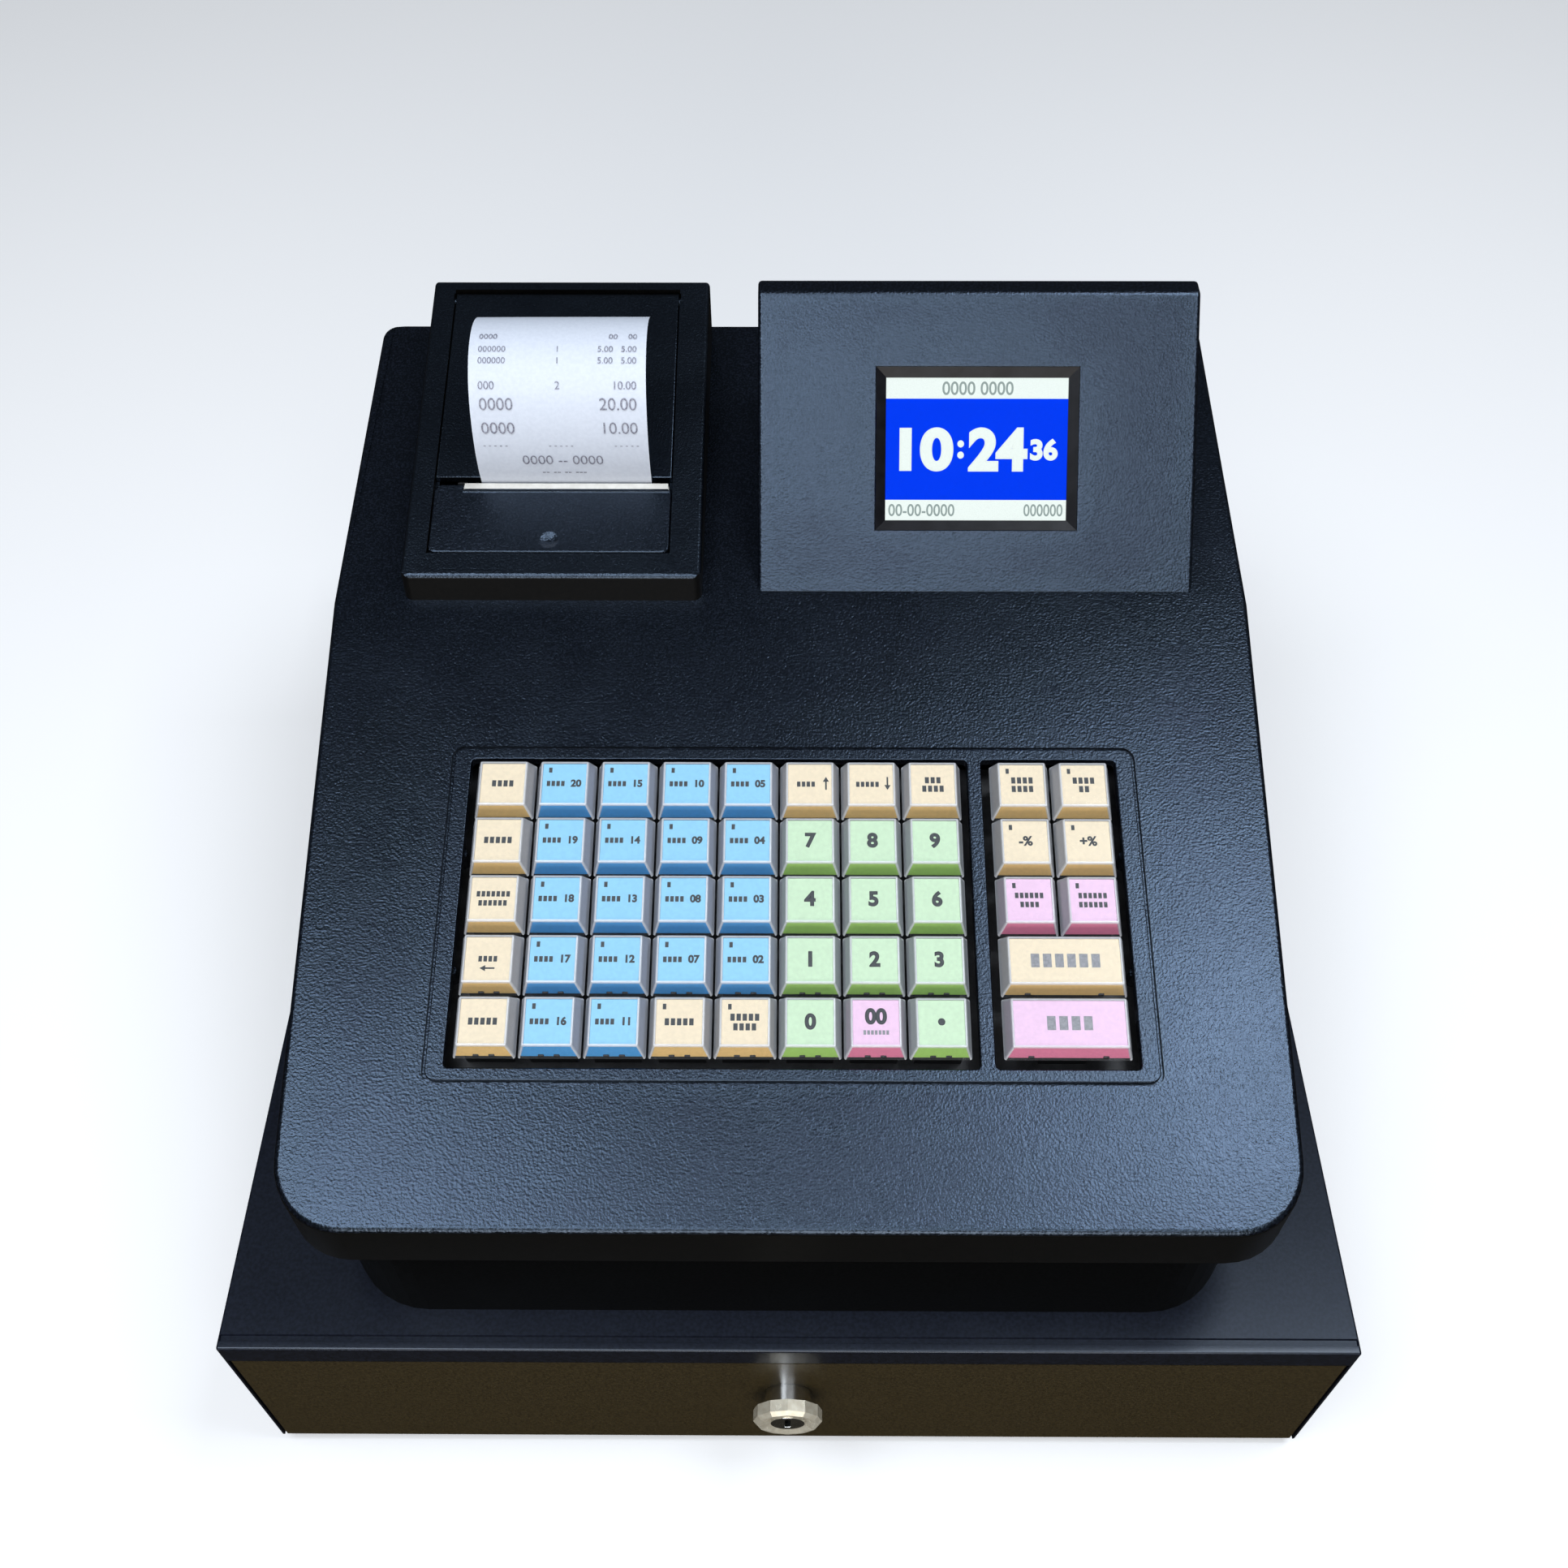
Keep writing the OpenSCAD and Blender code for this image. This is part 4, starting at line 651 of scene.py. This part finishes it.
def key_insert(name, span, tone):
    """The coloured block inside a cap, with soft edges and a tone each for face, front and sides; the
    front's darker tone is painted shade and the sides' greyer tone is a painted reflection
    """
    extra = (span - 1) * pitch
    base = key_base - 2 * cap_wall
    top = key_top - 2 * cap_wall
    insert = tapered(name, (base + extra, base), (top + extra, top), cap_top - cap_h + insert_lift, face_z,
                     insert_finish[tone])
    soften(insert, 0.3 * mm)
    for face in insert.data.polygons:
        # Faces that point up take the printed tone, the front takes the painted shade and the other sides
        # the painted reflection
        face.material_index = 0 if face.normal.z > 0.5 else 1 if face.normal.y < -0.9 else 2
    return insert


def key_hook(name, x):
    """One of the two dark hooks low in the front wall of a cap in the two front rows"""
    hook = plain_block(name, hook_size, (x, hook_y, hook_z))
    soften(hook, 0.2 * mm)
    hook.data.materials.append(switch_plastic)
    return hook


def figures(name, words, size, ink, align="CENTER", bold=0.0):
    """Plain figures as a mesh at the origin, whose strokes are widened by bold"""
    bpy.ops.object.select_all(action="DESELECT")
    bpy.ops.object.text_add(location=(0, 0, 0))
    piece = bpy.context.object
    piece.name = name
    piece.data.body = words
    piece.data.size = size
    piece.data.align_x = align
    piece.data.align_y = "CENTER"
    piece.data.bevel_depth = bold
    piece.data.bevel_resolution = 0
    bpy.ops.object.convert(target="MESH")
    piece = bpy.context.object
    piece.data.materials.clear()
    piece.data.materials.append(ink)
    return piece


def legend(name, words, size, at, bold, ink=print_ink):
    """Bold figures that are pressed thin and moved to their place"""
    piece = figures(name, words, size, ink, bold=bold)
    piece.data.transform(Matrix.Translation(at) @ Matrix.Diagonal((1, 1, ink_t / 2 / bold, 1)))
    return piece


def blocks(name, count, height, at, ink=print_ink):
    """A row of upright blocks, each the size of a letter, where other keyboards print a word"""
    block_w = 0.6 * height
    step = 0.85 * height
    row = plain_block(name, (block_w, height, ink_t), at - Vector(((count - 1) / 2 * step, 0, 0)))
    soften(row, 0.2 * height)
    repeat = row.modifiers.new("repeat", "ARRAY")
    repeat.count = count
    repeat.use_relative_offset = False
    repeat.use_constant_offset = True
    repeat.constant_offset_displace = (step, 0, 0)
    bpy.ops.object.modifier_apply(modifier="repeat")
    row.data.materials.append(ink)
    return row


def arrow(name, at, turn):
    """A small printed arrow that points up, turned by an angle"""
    tip_r = 1.1 * mm
    bpy.ops.object.select_all(action="DESELECT")
    bpy.ops.mesh.primitive_cylinder_add(vertices=3, radius=tip_r, depth=ink_t, location=(0, tip_r, 0))
    tip = bpy.context.object
    shaft = plain_block(name, (0.5 * mm, 3.2 * mm, ink_t), (0, -0.6 * mm, 0))
    work_on(shaft, tip)
    bpy.ops.object.transform_apply(location=True, rotation=True, scale=True)
    bpy.ops.object.join()
    shaft.data.transform(Matrix.Translation(at) @ Matrix.Rotation(turn, 4, "Z"))
    shaft.data.materials.append(print_ink)
    return shaft


def key_print(name, at, span, rows, sign, marked):
    """All that is printed on one key: a corner mark, rows of blocks, and a figure or an arrow"""
    if not rows or sign == "00":
        raised = at + Vector((0, 1.6 * mm * len(rows), 0))
        made = [legend(f"{name}_figure", sign, digit_size, raised, 0.3 * mm)]
        for count in rows:
            made.append(blocks(f"{name}_row", count, 1.3 * mm, at - Vector((0, 3 * mm, 0)), pale_ink))
        return made
    if span > 1:
        return [blocks(f"{name}_row", rows[0], wide_block_h, at, pale_ink)]
    made = []
    if marked:
        made.append(blocks(f"{name}_mark", 1, 1.7 * mm, at + Vector((-4.4 * mm, 4.6 * mm, 0))))
    side = 0
    height = low_block_h if sign or max(rows) > 5 else block_h
    if sign in arrows:
        place, turn = arrows[sign]
        made.append(arrow(f"{name}_arrow", at + place, turn))
        side = -1.2 * mm if place.x else 0
    elif sign and rows[0]:
        side = -2.6 * mm
        made.append(legend(f"{name}_figure", sign, number_size, at + Vector((3.7 * mm, 0, 0)), 0.15 * mm))
    elif sign:
        made.append(legend(f"{name}_figure", sign, sign_size, at, 0.15 * mm))
    for i, count in enumerate(rows):
        if count:
            drop = ((len(rows) - 1) / 2 - i) * row_drop
            made.append(blocks(f"{name}_row_{i}", count, height, at + Vector((side, drop, 0))))
    return made


def joined(name, pieces, place):
    """Several pieces as one mesh, named and moved to its place"""
    work_on(*pieces)
    if len(pieces) > 1:
        bpy.ops.object.join()
    whole = bpy.context.view_layer.objects.active
    whole.name = name
    whole.data.transform(place)
    return whole


arrows = {"up": (Vector((5 * mm, 0.3 * mm, 0)), 0), "down": (Vector((5 * mm, 0.3 * mm, 0)), math.pi),
          "left": (Vector((0, -2.9 * mm, 0)), math.pi / 2)}
# Keys of each node: column, row, width in keys, tone, blocks in each printed row, sign
keyboard = {}
for n in range(1, 10):
    keyboard[f"digit_key_{n}"] = [(5 + (n - 1) % 3, 1 + (n - 1) // 3, 1, "green", (), str(n))]
keyboard["digit_key_0"] = [(5, 0, 1, "green", (), "0")]
keyboard["digit_key_00"] = [(6, 0, 1, "pink", (7,), "00")]
keyboard["point_key"] = [(7, 0, 1, "green", (), "•")]
keyboard["key_column_1"] = [(0, 4, 1, "cream", (4,), None), (0, 3, 1, "cream", (5,), None),
                            (0, 2, 1, "cream", (7, 6), None), (0, 1, 1, "cream", (4,), "left"),
                            (0, 0, 1, "cream", (5,), None)]
for column in range(1, 5):
    departments = []
    for row in range(4, -1, -1):
        number = (5 - column) * 5 - (4 - row)
        departments.append((column, row, 1, "blue", (4,), f"{number:02}"))
    keyboard[f"key_column_{column + 1}"] = departments
for column, rows in ((3, (5,)), (4, (5, 4))):
    keyboard[f"key_column_{column + 1}"][4] = (column, 0, 1, "cream", rows, None)
keyboard["function_keys"] = [(5, 4, 1, "cream", (4,), "up"), (6, 4, 1, "cream", (5,), "down"),
                             (7, 4, 1, "cream", (3, 4), None), (8, 4, 1, "cream", (4, 4), None),
                             (9, 4, 1, "cream", (4, 2), None), (8, 3, 1, "cream", (0,), "-%"),
                             (9, 3, 1, "cream", (0,), "+%")]
keyboard["modifier_keys"] = [(8, 2, 1, "pink", (6, 4), None), (9, 2, 1, "pink", (6, 6), None)]
keyboard["subtotal_key"] = [(8.5, 1, 2, "cream", (6,), None)]
keyboard["cash_key"] = [(8.5, 0, 2, "pink", (4,), None)]

for name, keys in keyboard.items():
    caps, inserts, prints = [], [], []
    for i, (column, row, span, tone, rows, sign) in enumerate(keys):
        x, y = key_place(column, row)
        cap = key_cap(f"{name}_cap_{i}", span)
        insert = key_insert(f"{name}_insert_{i}", span, tone)
        hooks = [key_hook(f"{name}_hook_{i}_{j}", j * hook_x[span]) for j in (-1, 1)] if row < 2 else []
        for piece in (cap, insert, *hooks):
            piece.data.transform(Matrix.Translation((x, y, 0)))
        caps.append(cap)
        inserts += [insert, *hooks]
        marked = 1 <= column <= 4 or column >= left_columns
        prints += key_print(f"{name}_{i}", Vector((x, y, face_z + 0.03 * mm)), span, rows, sign, marked)
    cap = joined(f"{name}_cap", caps, panel)
    insert = joined(f"{name}_insert", inserts, panel)
    print_piece = joined(f"{name}_print", prints, panel)
    for piece in (cap, insert, print_piece):
        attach(piece, nodes[name]["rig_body"])
    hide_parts(name)
    smooth(cap)
    smooth(insert)

# ---------------------------------------------------------------- display
# The display's housing leans back at 45 degrees on the deck: a grained charcoal shell
# with a deep recess for its colour screen. A cover plate closes it from behind.
display_lo, display_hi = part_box("display_housing")
face_slope = math.radians(45)
disp_x = (display_lo.x + display_hi.x) / 2
disp_half = (display_hi.x - display_lo.x) / 2
foot_z = 199.782 * mm
face_plane = Matrix.Translation((disp_x, display_lo.y, foot_z)) @ Matrix.Rotation(face_slope, 4, "X")
to_face = face_plane.inverted()
display_shell = copy_of("display_housing", "display_shell", housing_plastic)


def display_rim(middle, normals):
    side = abs(middle.x - disp_x) > disp_half - 0.2 * mm
    crown = middle.z > display_hi.z - 0.2 * mm
    return (side or crown) and middle.z > foot_z + mm


round_edges(display_shell, display_rim, 1.3 * mm, 4)
round_edges(display_shell, lambda p, n: abs((to_face @ p).z) < 0.1 * mm and abs(p.x - disp_x) < 40 * mm,
            0.35 * mm, 2)
smooth(display_shell)
back_plate = copy_of("display_back", "display_rear_cover", housing_plastic)
smooth(back_plate)

# The screen: a glossy black frame slopes down to a backlit panel that shows the time
# in white figures on blue, between two white bars with small marks.
glass_points = [to_face @ v.co for v in nodes["display_window"].data.vertices]
recess_lo = Vector(min(p[i] for p in glass_points) for i in range(3))
recess_hi = Vector(max(p[i] for p in glass_points) for i in range(3))
screen_w = recess_hi.x - recess_lo.x
screen_h = recess_hi.y - recess_lo.y
border = 3.3 * mm
screen_mid = Vector((0, (recess_lo.y + recess_hi.y) / 2, recess_lo.z))
piano_black, piano_shader = shader_of("piano_black", (0.004, 0.004, 0.005), 0.3)
piano_shader.inputs["Specular IOR Level"].default_value = 0.2
speckle(piano_black, piano_shader, (0.003, 0.003, 0.004), (0.008, 0.008, 0.01), 6 * mm)
uneven_gloss(piano_black, piano_shader, 8 * mm, 0.25, 0.38)


def plate(name, width, height, low, high, finish):
    """A thin block about the screen's middle, in the axes of the display's face"""
    piece = plain_block(name, (width, height, high - low), (screen_mid.x, screen_mid.y, (low + high) / 2))
    piece.data.materials.append(finish)
    return piece


screen_frame = plate("screen_frame", screen_w, screen_h, recess_lo.z, -0.25 * mm, piano_black)
pick(screen_frame, "FACE", lambda face: abs(face.normal.z) > 0.9)
bpy.ops.mesh.inset(thickness=border, use_individual=True)
bpy.ops.mesh.bridge_edge_loops()
bpy.ops.object.mode_set(mode="OBJECT")
for vertex in screen_frame.data.vertices:
    inside = abs(vertex.co.x) < screen_w / 2 - mm and abs(vertex.co.y - screen_mid.y) < screen_h / 2 - mm
    if inside and vertex.co.z > -mm:
        vertex.co.z -= 1.3 * mm
screen_frame.data.transform(face_plane)
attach(screen_frame, "register")
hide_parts("display_window")


def backlit(name, colour, power):
    """A liquid crystal's colour, faintly cut into pixels and lit from behind"""
    finish, shader = shader_of(name, colour, 0.35)
    shader.inputs["Specular IOR Level"].default_value = 0
    tree = finish.node_tree
    place = tree.nodes.new("ShaderNodeTexCoord")
    pixels = tree.nodes.new("ShaderNodeTexVoronoi")
    pixels.inputs["Scale"].default_value = 1 / (0.3 * mm)
    tone = tree.nodes.new("ShaderNodeValToRGB")
    tone.color_ramp.elements[0].color = (*colour, 1)
    tone.color_ramp.elements[1].color = (*[0.9 * c for c in colour], 1)
    tree.links.new(place.outputs["Object"], pixels.inputs["Vector"])
    tree.links.new(pixels.outputs["Distance"], tone.inputs["Fac"])
    unlit = tree.nodes.new("ShaderNodeVectorMath")
    unlit.operation = "SCALE"
    unlit.inputs["Scale"].default_value = 0.08
    tree.links.new(tone.outputs["Color"], unlit.inputs[0])
    tree.links.new(unlit.outputs["Vector"], shader.inputs["Base Color"])
    tree.links.new(tone.outputs["Color"], shader.inputs["Emission Color"])
    shader.inputs["Emission Strength"].default_value = power
    return finish


lcd_white = backlit("lcd_white", (0.90, 1.0, 0.96), 1.0)
lcd_blue = backlit("lcd_blue", (0.0, 0.045, 0.95), 1.0)
lcd_grey = backlit("lcd_grey", (0.40, 0.50, 0.48), 0.75)
picture_w = screen_w - 2 * border
picture_h = screen_h - 2 * border
picture_z = recess_lo.z + 0.1 * mm
bar_share = 0.145
bar_h = bar_share * picture_h
picture = plate("screen_picture", picture_w, picture_h, recess_lo.z, picture_z, lcd_white)
field = plate("screen_field", picture_w, picture_h - 2 * bar_h, picture_z, picture_z + 0.05 * mm, lcd_blue)
screen_parts = [picture, field]


def screen_text(name, words, left, right, height, y, finish, bold):
    """Figures on the screen, fitted to a width and height in the face's axes"""
    piece = legend(name, words, height, Vector((0, 0, 0)), bold, finish)
    xs = [vertex.co.x for vertex in piece.data.vertices]
    ys = [vertex.co.y for vertex in piece.data.vertices]
    fit = Matrix.Diagonal(((right - left) / (max(xs) - min(xs)), height / (max(ys) - min(ys)), 1, 1))
    middle = Vector(((max(xs) + min(xs)) / 2, (max(ys) + min(ys)) / 2, 0))
    place = Vector(((left + right) / 2, screen_mid.y + y, picture_z + 0.08 * mm))
    piece.data.transform(Matrix.Translation(place) @ fit @ Matrix.Translation(-middle))
    return piece


strip_y = (picture_h - bar_h) / 2
# What the screen shows: name, words, left and right end, height, place up the face, tone, boldness
shown = [
    ("screen_hours", "10", -25.5 * mm, -7.6 * mm, 14.4 * mm, 0, lcd_white, 0.7 * mm),
    ("screen_colon", ":", -6.3 * mm, -4.1 * mm, 6 * mm, 0, lcd_white, 0.3 * mm),
    ("screen_minutes", "24", -2.7 * mm, 17 * mm, 14.4 * mm, 0, lcd_white, 0.7 * mm),
    ("screen_seconds", "36", 17.8 * mm, 27 * mm, 7.2 * mm, 0, lcd_white, 0.35 * mm),
    ("screen_top", "0000 0000", -11.5 * mm, 12 * mm, 4.4 * mm, strip_y, lcd_grey, 0.05 * mm),
    ("screen_date", "00-00-0000", -29 * mm, -7 * mm, 4 * mm, -strip_y, lcd_grey, 0.05 * mm),
    ("screen_day", "000000", 16 * mm, 29 * mm, 4 * mm, -strip_y, lcd_grey, 0.05 * mm),
]
screen_parts += [screen_text(*line) for line in shown]
for part in screen_parts:
    part.data.transform(face_plane)
    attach(part, "register")

glass, glass_shader = shader_of("screen_glass", (0.02, 0.03, 0.05), 0.05)
glass_shader.inputs["Alpha"].default_value = 0.03
glass_shader.inputs["Specular IOR Level"].default_value = 0.05
speckle(glass, glass_shader, (0.015, 0.02, 0.035), (0.02, 0.03, 0.05), 5 * mm)
lens_z = recess_lo.z + 0.5 * mm
lens_t = 0.4 * mm
lens_plate = plate("screen_lens", picture_w + mm, picture_h + mm, lens_z, lens_z + lens_t, glass)
lens_plate.data.transform(face_plane)
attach(lens_plate, "register")
dress(board_green, "lcd_module")

# ---------------------------------------------------------------- printer
# A receipt printer in a raised charcoal frame: the lid hinges at the back and carries
# the platen roller, and a fixed cover with a toothed tear bar stands before it.
frame_lo, frame_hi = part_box("printer_frame")
printer_slope = math.radians(13.3)
prn_edge = Vector((0, 15.75 * mm, 209.439 * mm))
surround_len = 124.5 * mm
surround_deep = 60 * mm
printer_top = Matrix.Translation(prn_edge) @ Matrix.Rotation(printer_slope, 4, "X")
to_printer = printer_top.inverted()
frame_mid = (frame_lo.x + frame_hi.x) / 2
frame_half = (frame_hi.x - frame_lo.x) / 2
printer_plastic = charcoal("printer_plastic", (0.0006, 0.0008, 0.0014), (0.003, 0.004, 0.006), 0.28)
printer_shell = copy_of("printer_frame", "printer_surround", printer_plastic)


def surround_rim(middle, normals):
    at = to_printer @ middle
    side = abs(middle.x - frame_mid) > frame_half - by_side
    top = abs(at.z) < by_side
    ends = top and (at.y < 0.3 * mm or at.y > surround_len)
    return (side or ends) and at.z > -surround_deep and middle.z > foot_z + 2 * mm


def surround_corner(middle, normals):
    beside = abs(middle.x - frame_mid) > frame_half - 0.2 * mm
    return beside and min(n.y for n in normals) < -0.7 and (to_printer @ middle).z < -mm


round_edges(printer_shell, surround_corner, 3 * mm, 5)
round_edges(printer_shell, surround_rim, 1.4 * mm, 4, 20)
smooth_walls(printer_shell)
smooth(printer_shell)

cover_plastic = charcoal("cover_plastic", (0.0008, 0.0010, 0.0020), (0.008, 0.010, 0.016), 0.30)
front_cover = copy_of("tear_cover", "front_cover", cover_plastic)
cover_edge_y = 36 * mm
bar_w = 2.2 * mm
bar_back = max((to_printer @ v.co).y for v in front_cover.data.vertices)
bar_front = printer_top @ Vector((0, bar_back - bar_w, 0))
bpy.ops.object.mode_set(mode="EDIT")
bpy.ops.mesh.select_all(action="SELECT")
bpy.ops.mesh.bisect(plane_co=bar_front, plane_no=printer_top.to_3x3() @ Vector((0, 1, 0)))
bpy.ops.mesh.select_all(action="SELECT")
bpy.ops.mesh.quads_convert_to_tris(ngon_method="BEAUTY")
bpy.ops.object.mode_set(mode="OBJECT")
round_edges(front_cover, lambda p, n: abs((to_printer @ p).z) < 0.1 * mm
            and (to_printer @ p).y < cover_edge_y - 0.1 * mm, 0.6 * mm, 3)
smooth(front_cover)
bar_steel, bar_shader = shader_of("bar_steel", (0.80, 0.77, 0.70), 0.4, 0.25)
speckle(bar_steel, bar_shader, (0.74, 0.71, 0.64), (0.84, 0.81, 0.74), 3 * mm, bump=0.1)
front_cover.data.materials.append(bar_steel)
for face in front_cover.data.polygons:
    middle = to_printer @ face.center
    face.material_index = 1 if middle.z > 0.05 * mm and middle.y > bar_back - bar_w else 0

lid = copy_of("printer_lid", "lid_moulding", printer_plastic)
round_edges(lid, lambda p, n: abs((to_printer @ p).z) < in_face, 0.5 * mm)
smooth(lid)

nylon, nylon_shader = shader_of("gear_nylon", (0.75, 0.74, 0.7), 0.45)
speckle(nylon, nylon_shader, (0.68, 0.67, 0.62), (0.8, 0.79, 0.75), 2 * mm, bump=0.1)
dress(nylon, "feed_gear")
platen_rubber, platen_shader = shader_of("platen_rubber", (0.02, 0.02, 0.022), 0.7)
speckle(platen_rubber, platen_shader, (0.014, 0.014, 0.016), (0.03, 0.03, 0.032), 0.4 * mm, bump=0.3)
dress(platen_rubber, "platen_roller")

# ---------------------------------------------------------------- paper
# Thermal paper 57.5 mm wide, from a roll under the lid. The strip rises between the
# platen and the tear bar and curls back over the lid, with its printed rows outwards.
paper, paper_shader = shader_of("thermal_paper", (0.72, 0.76, 0.84), 0.6)
speckle(paper, paper_shader, (0.70, 0.74, 0.82), (0.74, 0.78, 0.86), 1.2 * mm, bump=0.08, height=0.03 * mm)
dress(paper, "paper_roll")
strip_lo, strip_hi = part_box("receipt")
strip_mid = (strip_lo.x + strip_hi.x) / 2
strip_w = strip_hi.x - strip_lo.x
strip_points = [to_printer @ v.co for v in nodes["receipt"].data.vertices]
strip_start = min(p.z for p in strip_points)
paper_t = 0.12 * mm
rise_r, rise_turn = 46 * mm, math.radians(39)
curl_r, curl_turn = 23 * mm, math.radians(102)
platen_s = 42.5 * mm
platen_r = 5 * mm
out_y = platen_s - platen_r - 0.3 * mm


def on_paper(length, lift):
    """Place on the strip, in printer axes, at a length from the tear bar and off its face"""
    if length < 0:
        return Vector((0, out_y - lift, length))
    turn = min(length / rise_r, rise_turn)
    at = Vector((0, out_y + rise_r * (1 - math.cos(turn)), rise_r * math.sin(turn)))
    rest = length - rise_turn * rise_r
    if rest > 0:
        more = rest / curl_r
        at += curl_r * Vector((0, math.cos(rise_turn) - math.cos(rise_turn + more),
                               math.sin(rise_turn + more) - math.sin(rise_turn)))
        turn += more
    return at + lift * Vector((0, -math.cos(turn), math.sin(turn)))


strip_len = rise_r * rise_turn + curl_r * curl_turn
steps = 48
torn_slant = 2.5 * mm
bpy.ops.object.select_all(action="DESELECT")
bpy.ops.mesh.primitive_grid_add(x_subdivisions=12, y_subdivisions=steps, size=1)
strip = bpy.context.object
strip.name = "receipt_strip"
for vertex in strip.data.vertices:
    side = vertex.co.x
    reach = strip_len - torn_slant * (side + 0.5)
    length = strip_start + (vertex.co.y + 0.5) * (reach - strip_start)
    cockle = 0.25 * mm * math.sin(length / (9 * mm)) * side * max(0, length) / strip_len
    place = on_paper(length, cockle)
    vertex.co = (side * strip_w + strip_mid, place.y, place.z)
bpy.ops.object.mode_set(mode="EDIT")
bpy.ops.mesh.select_all(action="SELECT")
bpy.ops.mesh.normals_make_consistent(inside=False)
bpy.ops.object.mode_set(mode="OBJECT")
wall = strip.modifiers.new("wall", "SOLIDIFY")
wall.thickness = paper_t
wall.offset = 0
bpy.ops.object.modifier_apply(modifier="wall")
strip.data.materials.append(paper)
strip.data.transform(printer_top)
smooth(strip, 60)
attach(strip, "lid")
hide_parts("receipt")

thermal_ink, thermal_shader = shader_of("thermal_ink", (0.22, 0.22, 0.27), 0.6)
speckle(thermal_ink, thermal_shader, (0.15, 0.15, 0.2), (0.4, 0.4, 0.46), 0.5 * mm)
# Printed rows: length from the tear bar, left text, right text, size, middle text
rows = [
    (6 * mm, "", "", 4.0 * mm, "-- -- -- ---"),
    (11 * mm, "", "", 5.2 * mm, "0000 -- 0000"),
    (17 * mm, "- - - - -", "- - - - -", 3.0 * mm, "- - - - -"),
    (23 * mm, "0000", "10.00", 5.6 * mm, ""),
    (31 * mm, "0000", "20.00", 5.6 * mm, ""),
    (37 * mm, "000", "10.00", 3.6 * mm, "2"),
    (45 * mm, "000000", "5.00   5.00", 3.0 * mm, "1"),
    (49 * mm, "000000", "5.00   5.00", 3.0 * mm, "1"),
    (54 * mm, "0000", "00    00", 3.0 * mm, ""),
]
prints = []
edge_gap = 3 * mm
for i, (length, left, end, size, middle) in enumerate(rows):
    for words, x, align in ((left, -strip_w / 2 + edge_gap, "LEFT"), (end, strip_w / 2 - edge_gap, "RIGHT"),
                            (middle, 0, "CENTER")):
        if not words:
            continue
        row = figures(f"receipt_row_{i}_{align.lower()}", words, size, thermal_ink, align)
        for vertex in row.data.vertices:
            place = on_paper(length + vertex.co.y, 0.35 * mm)
            vertex.co = (vertex.co.x + x + strip_mid, place.y, place.z)
        prints.append(row)
print_rows = joined("receipt_print", prints, printer_top)
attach(print_rows, "lid")
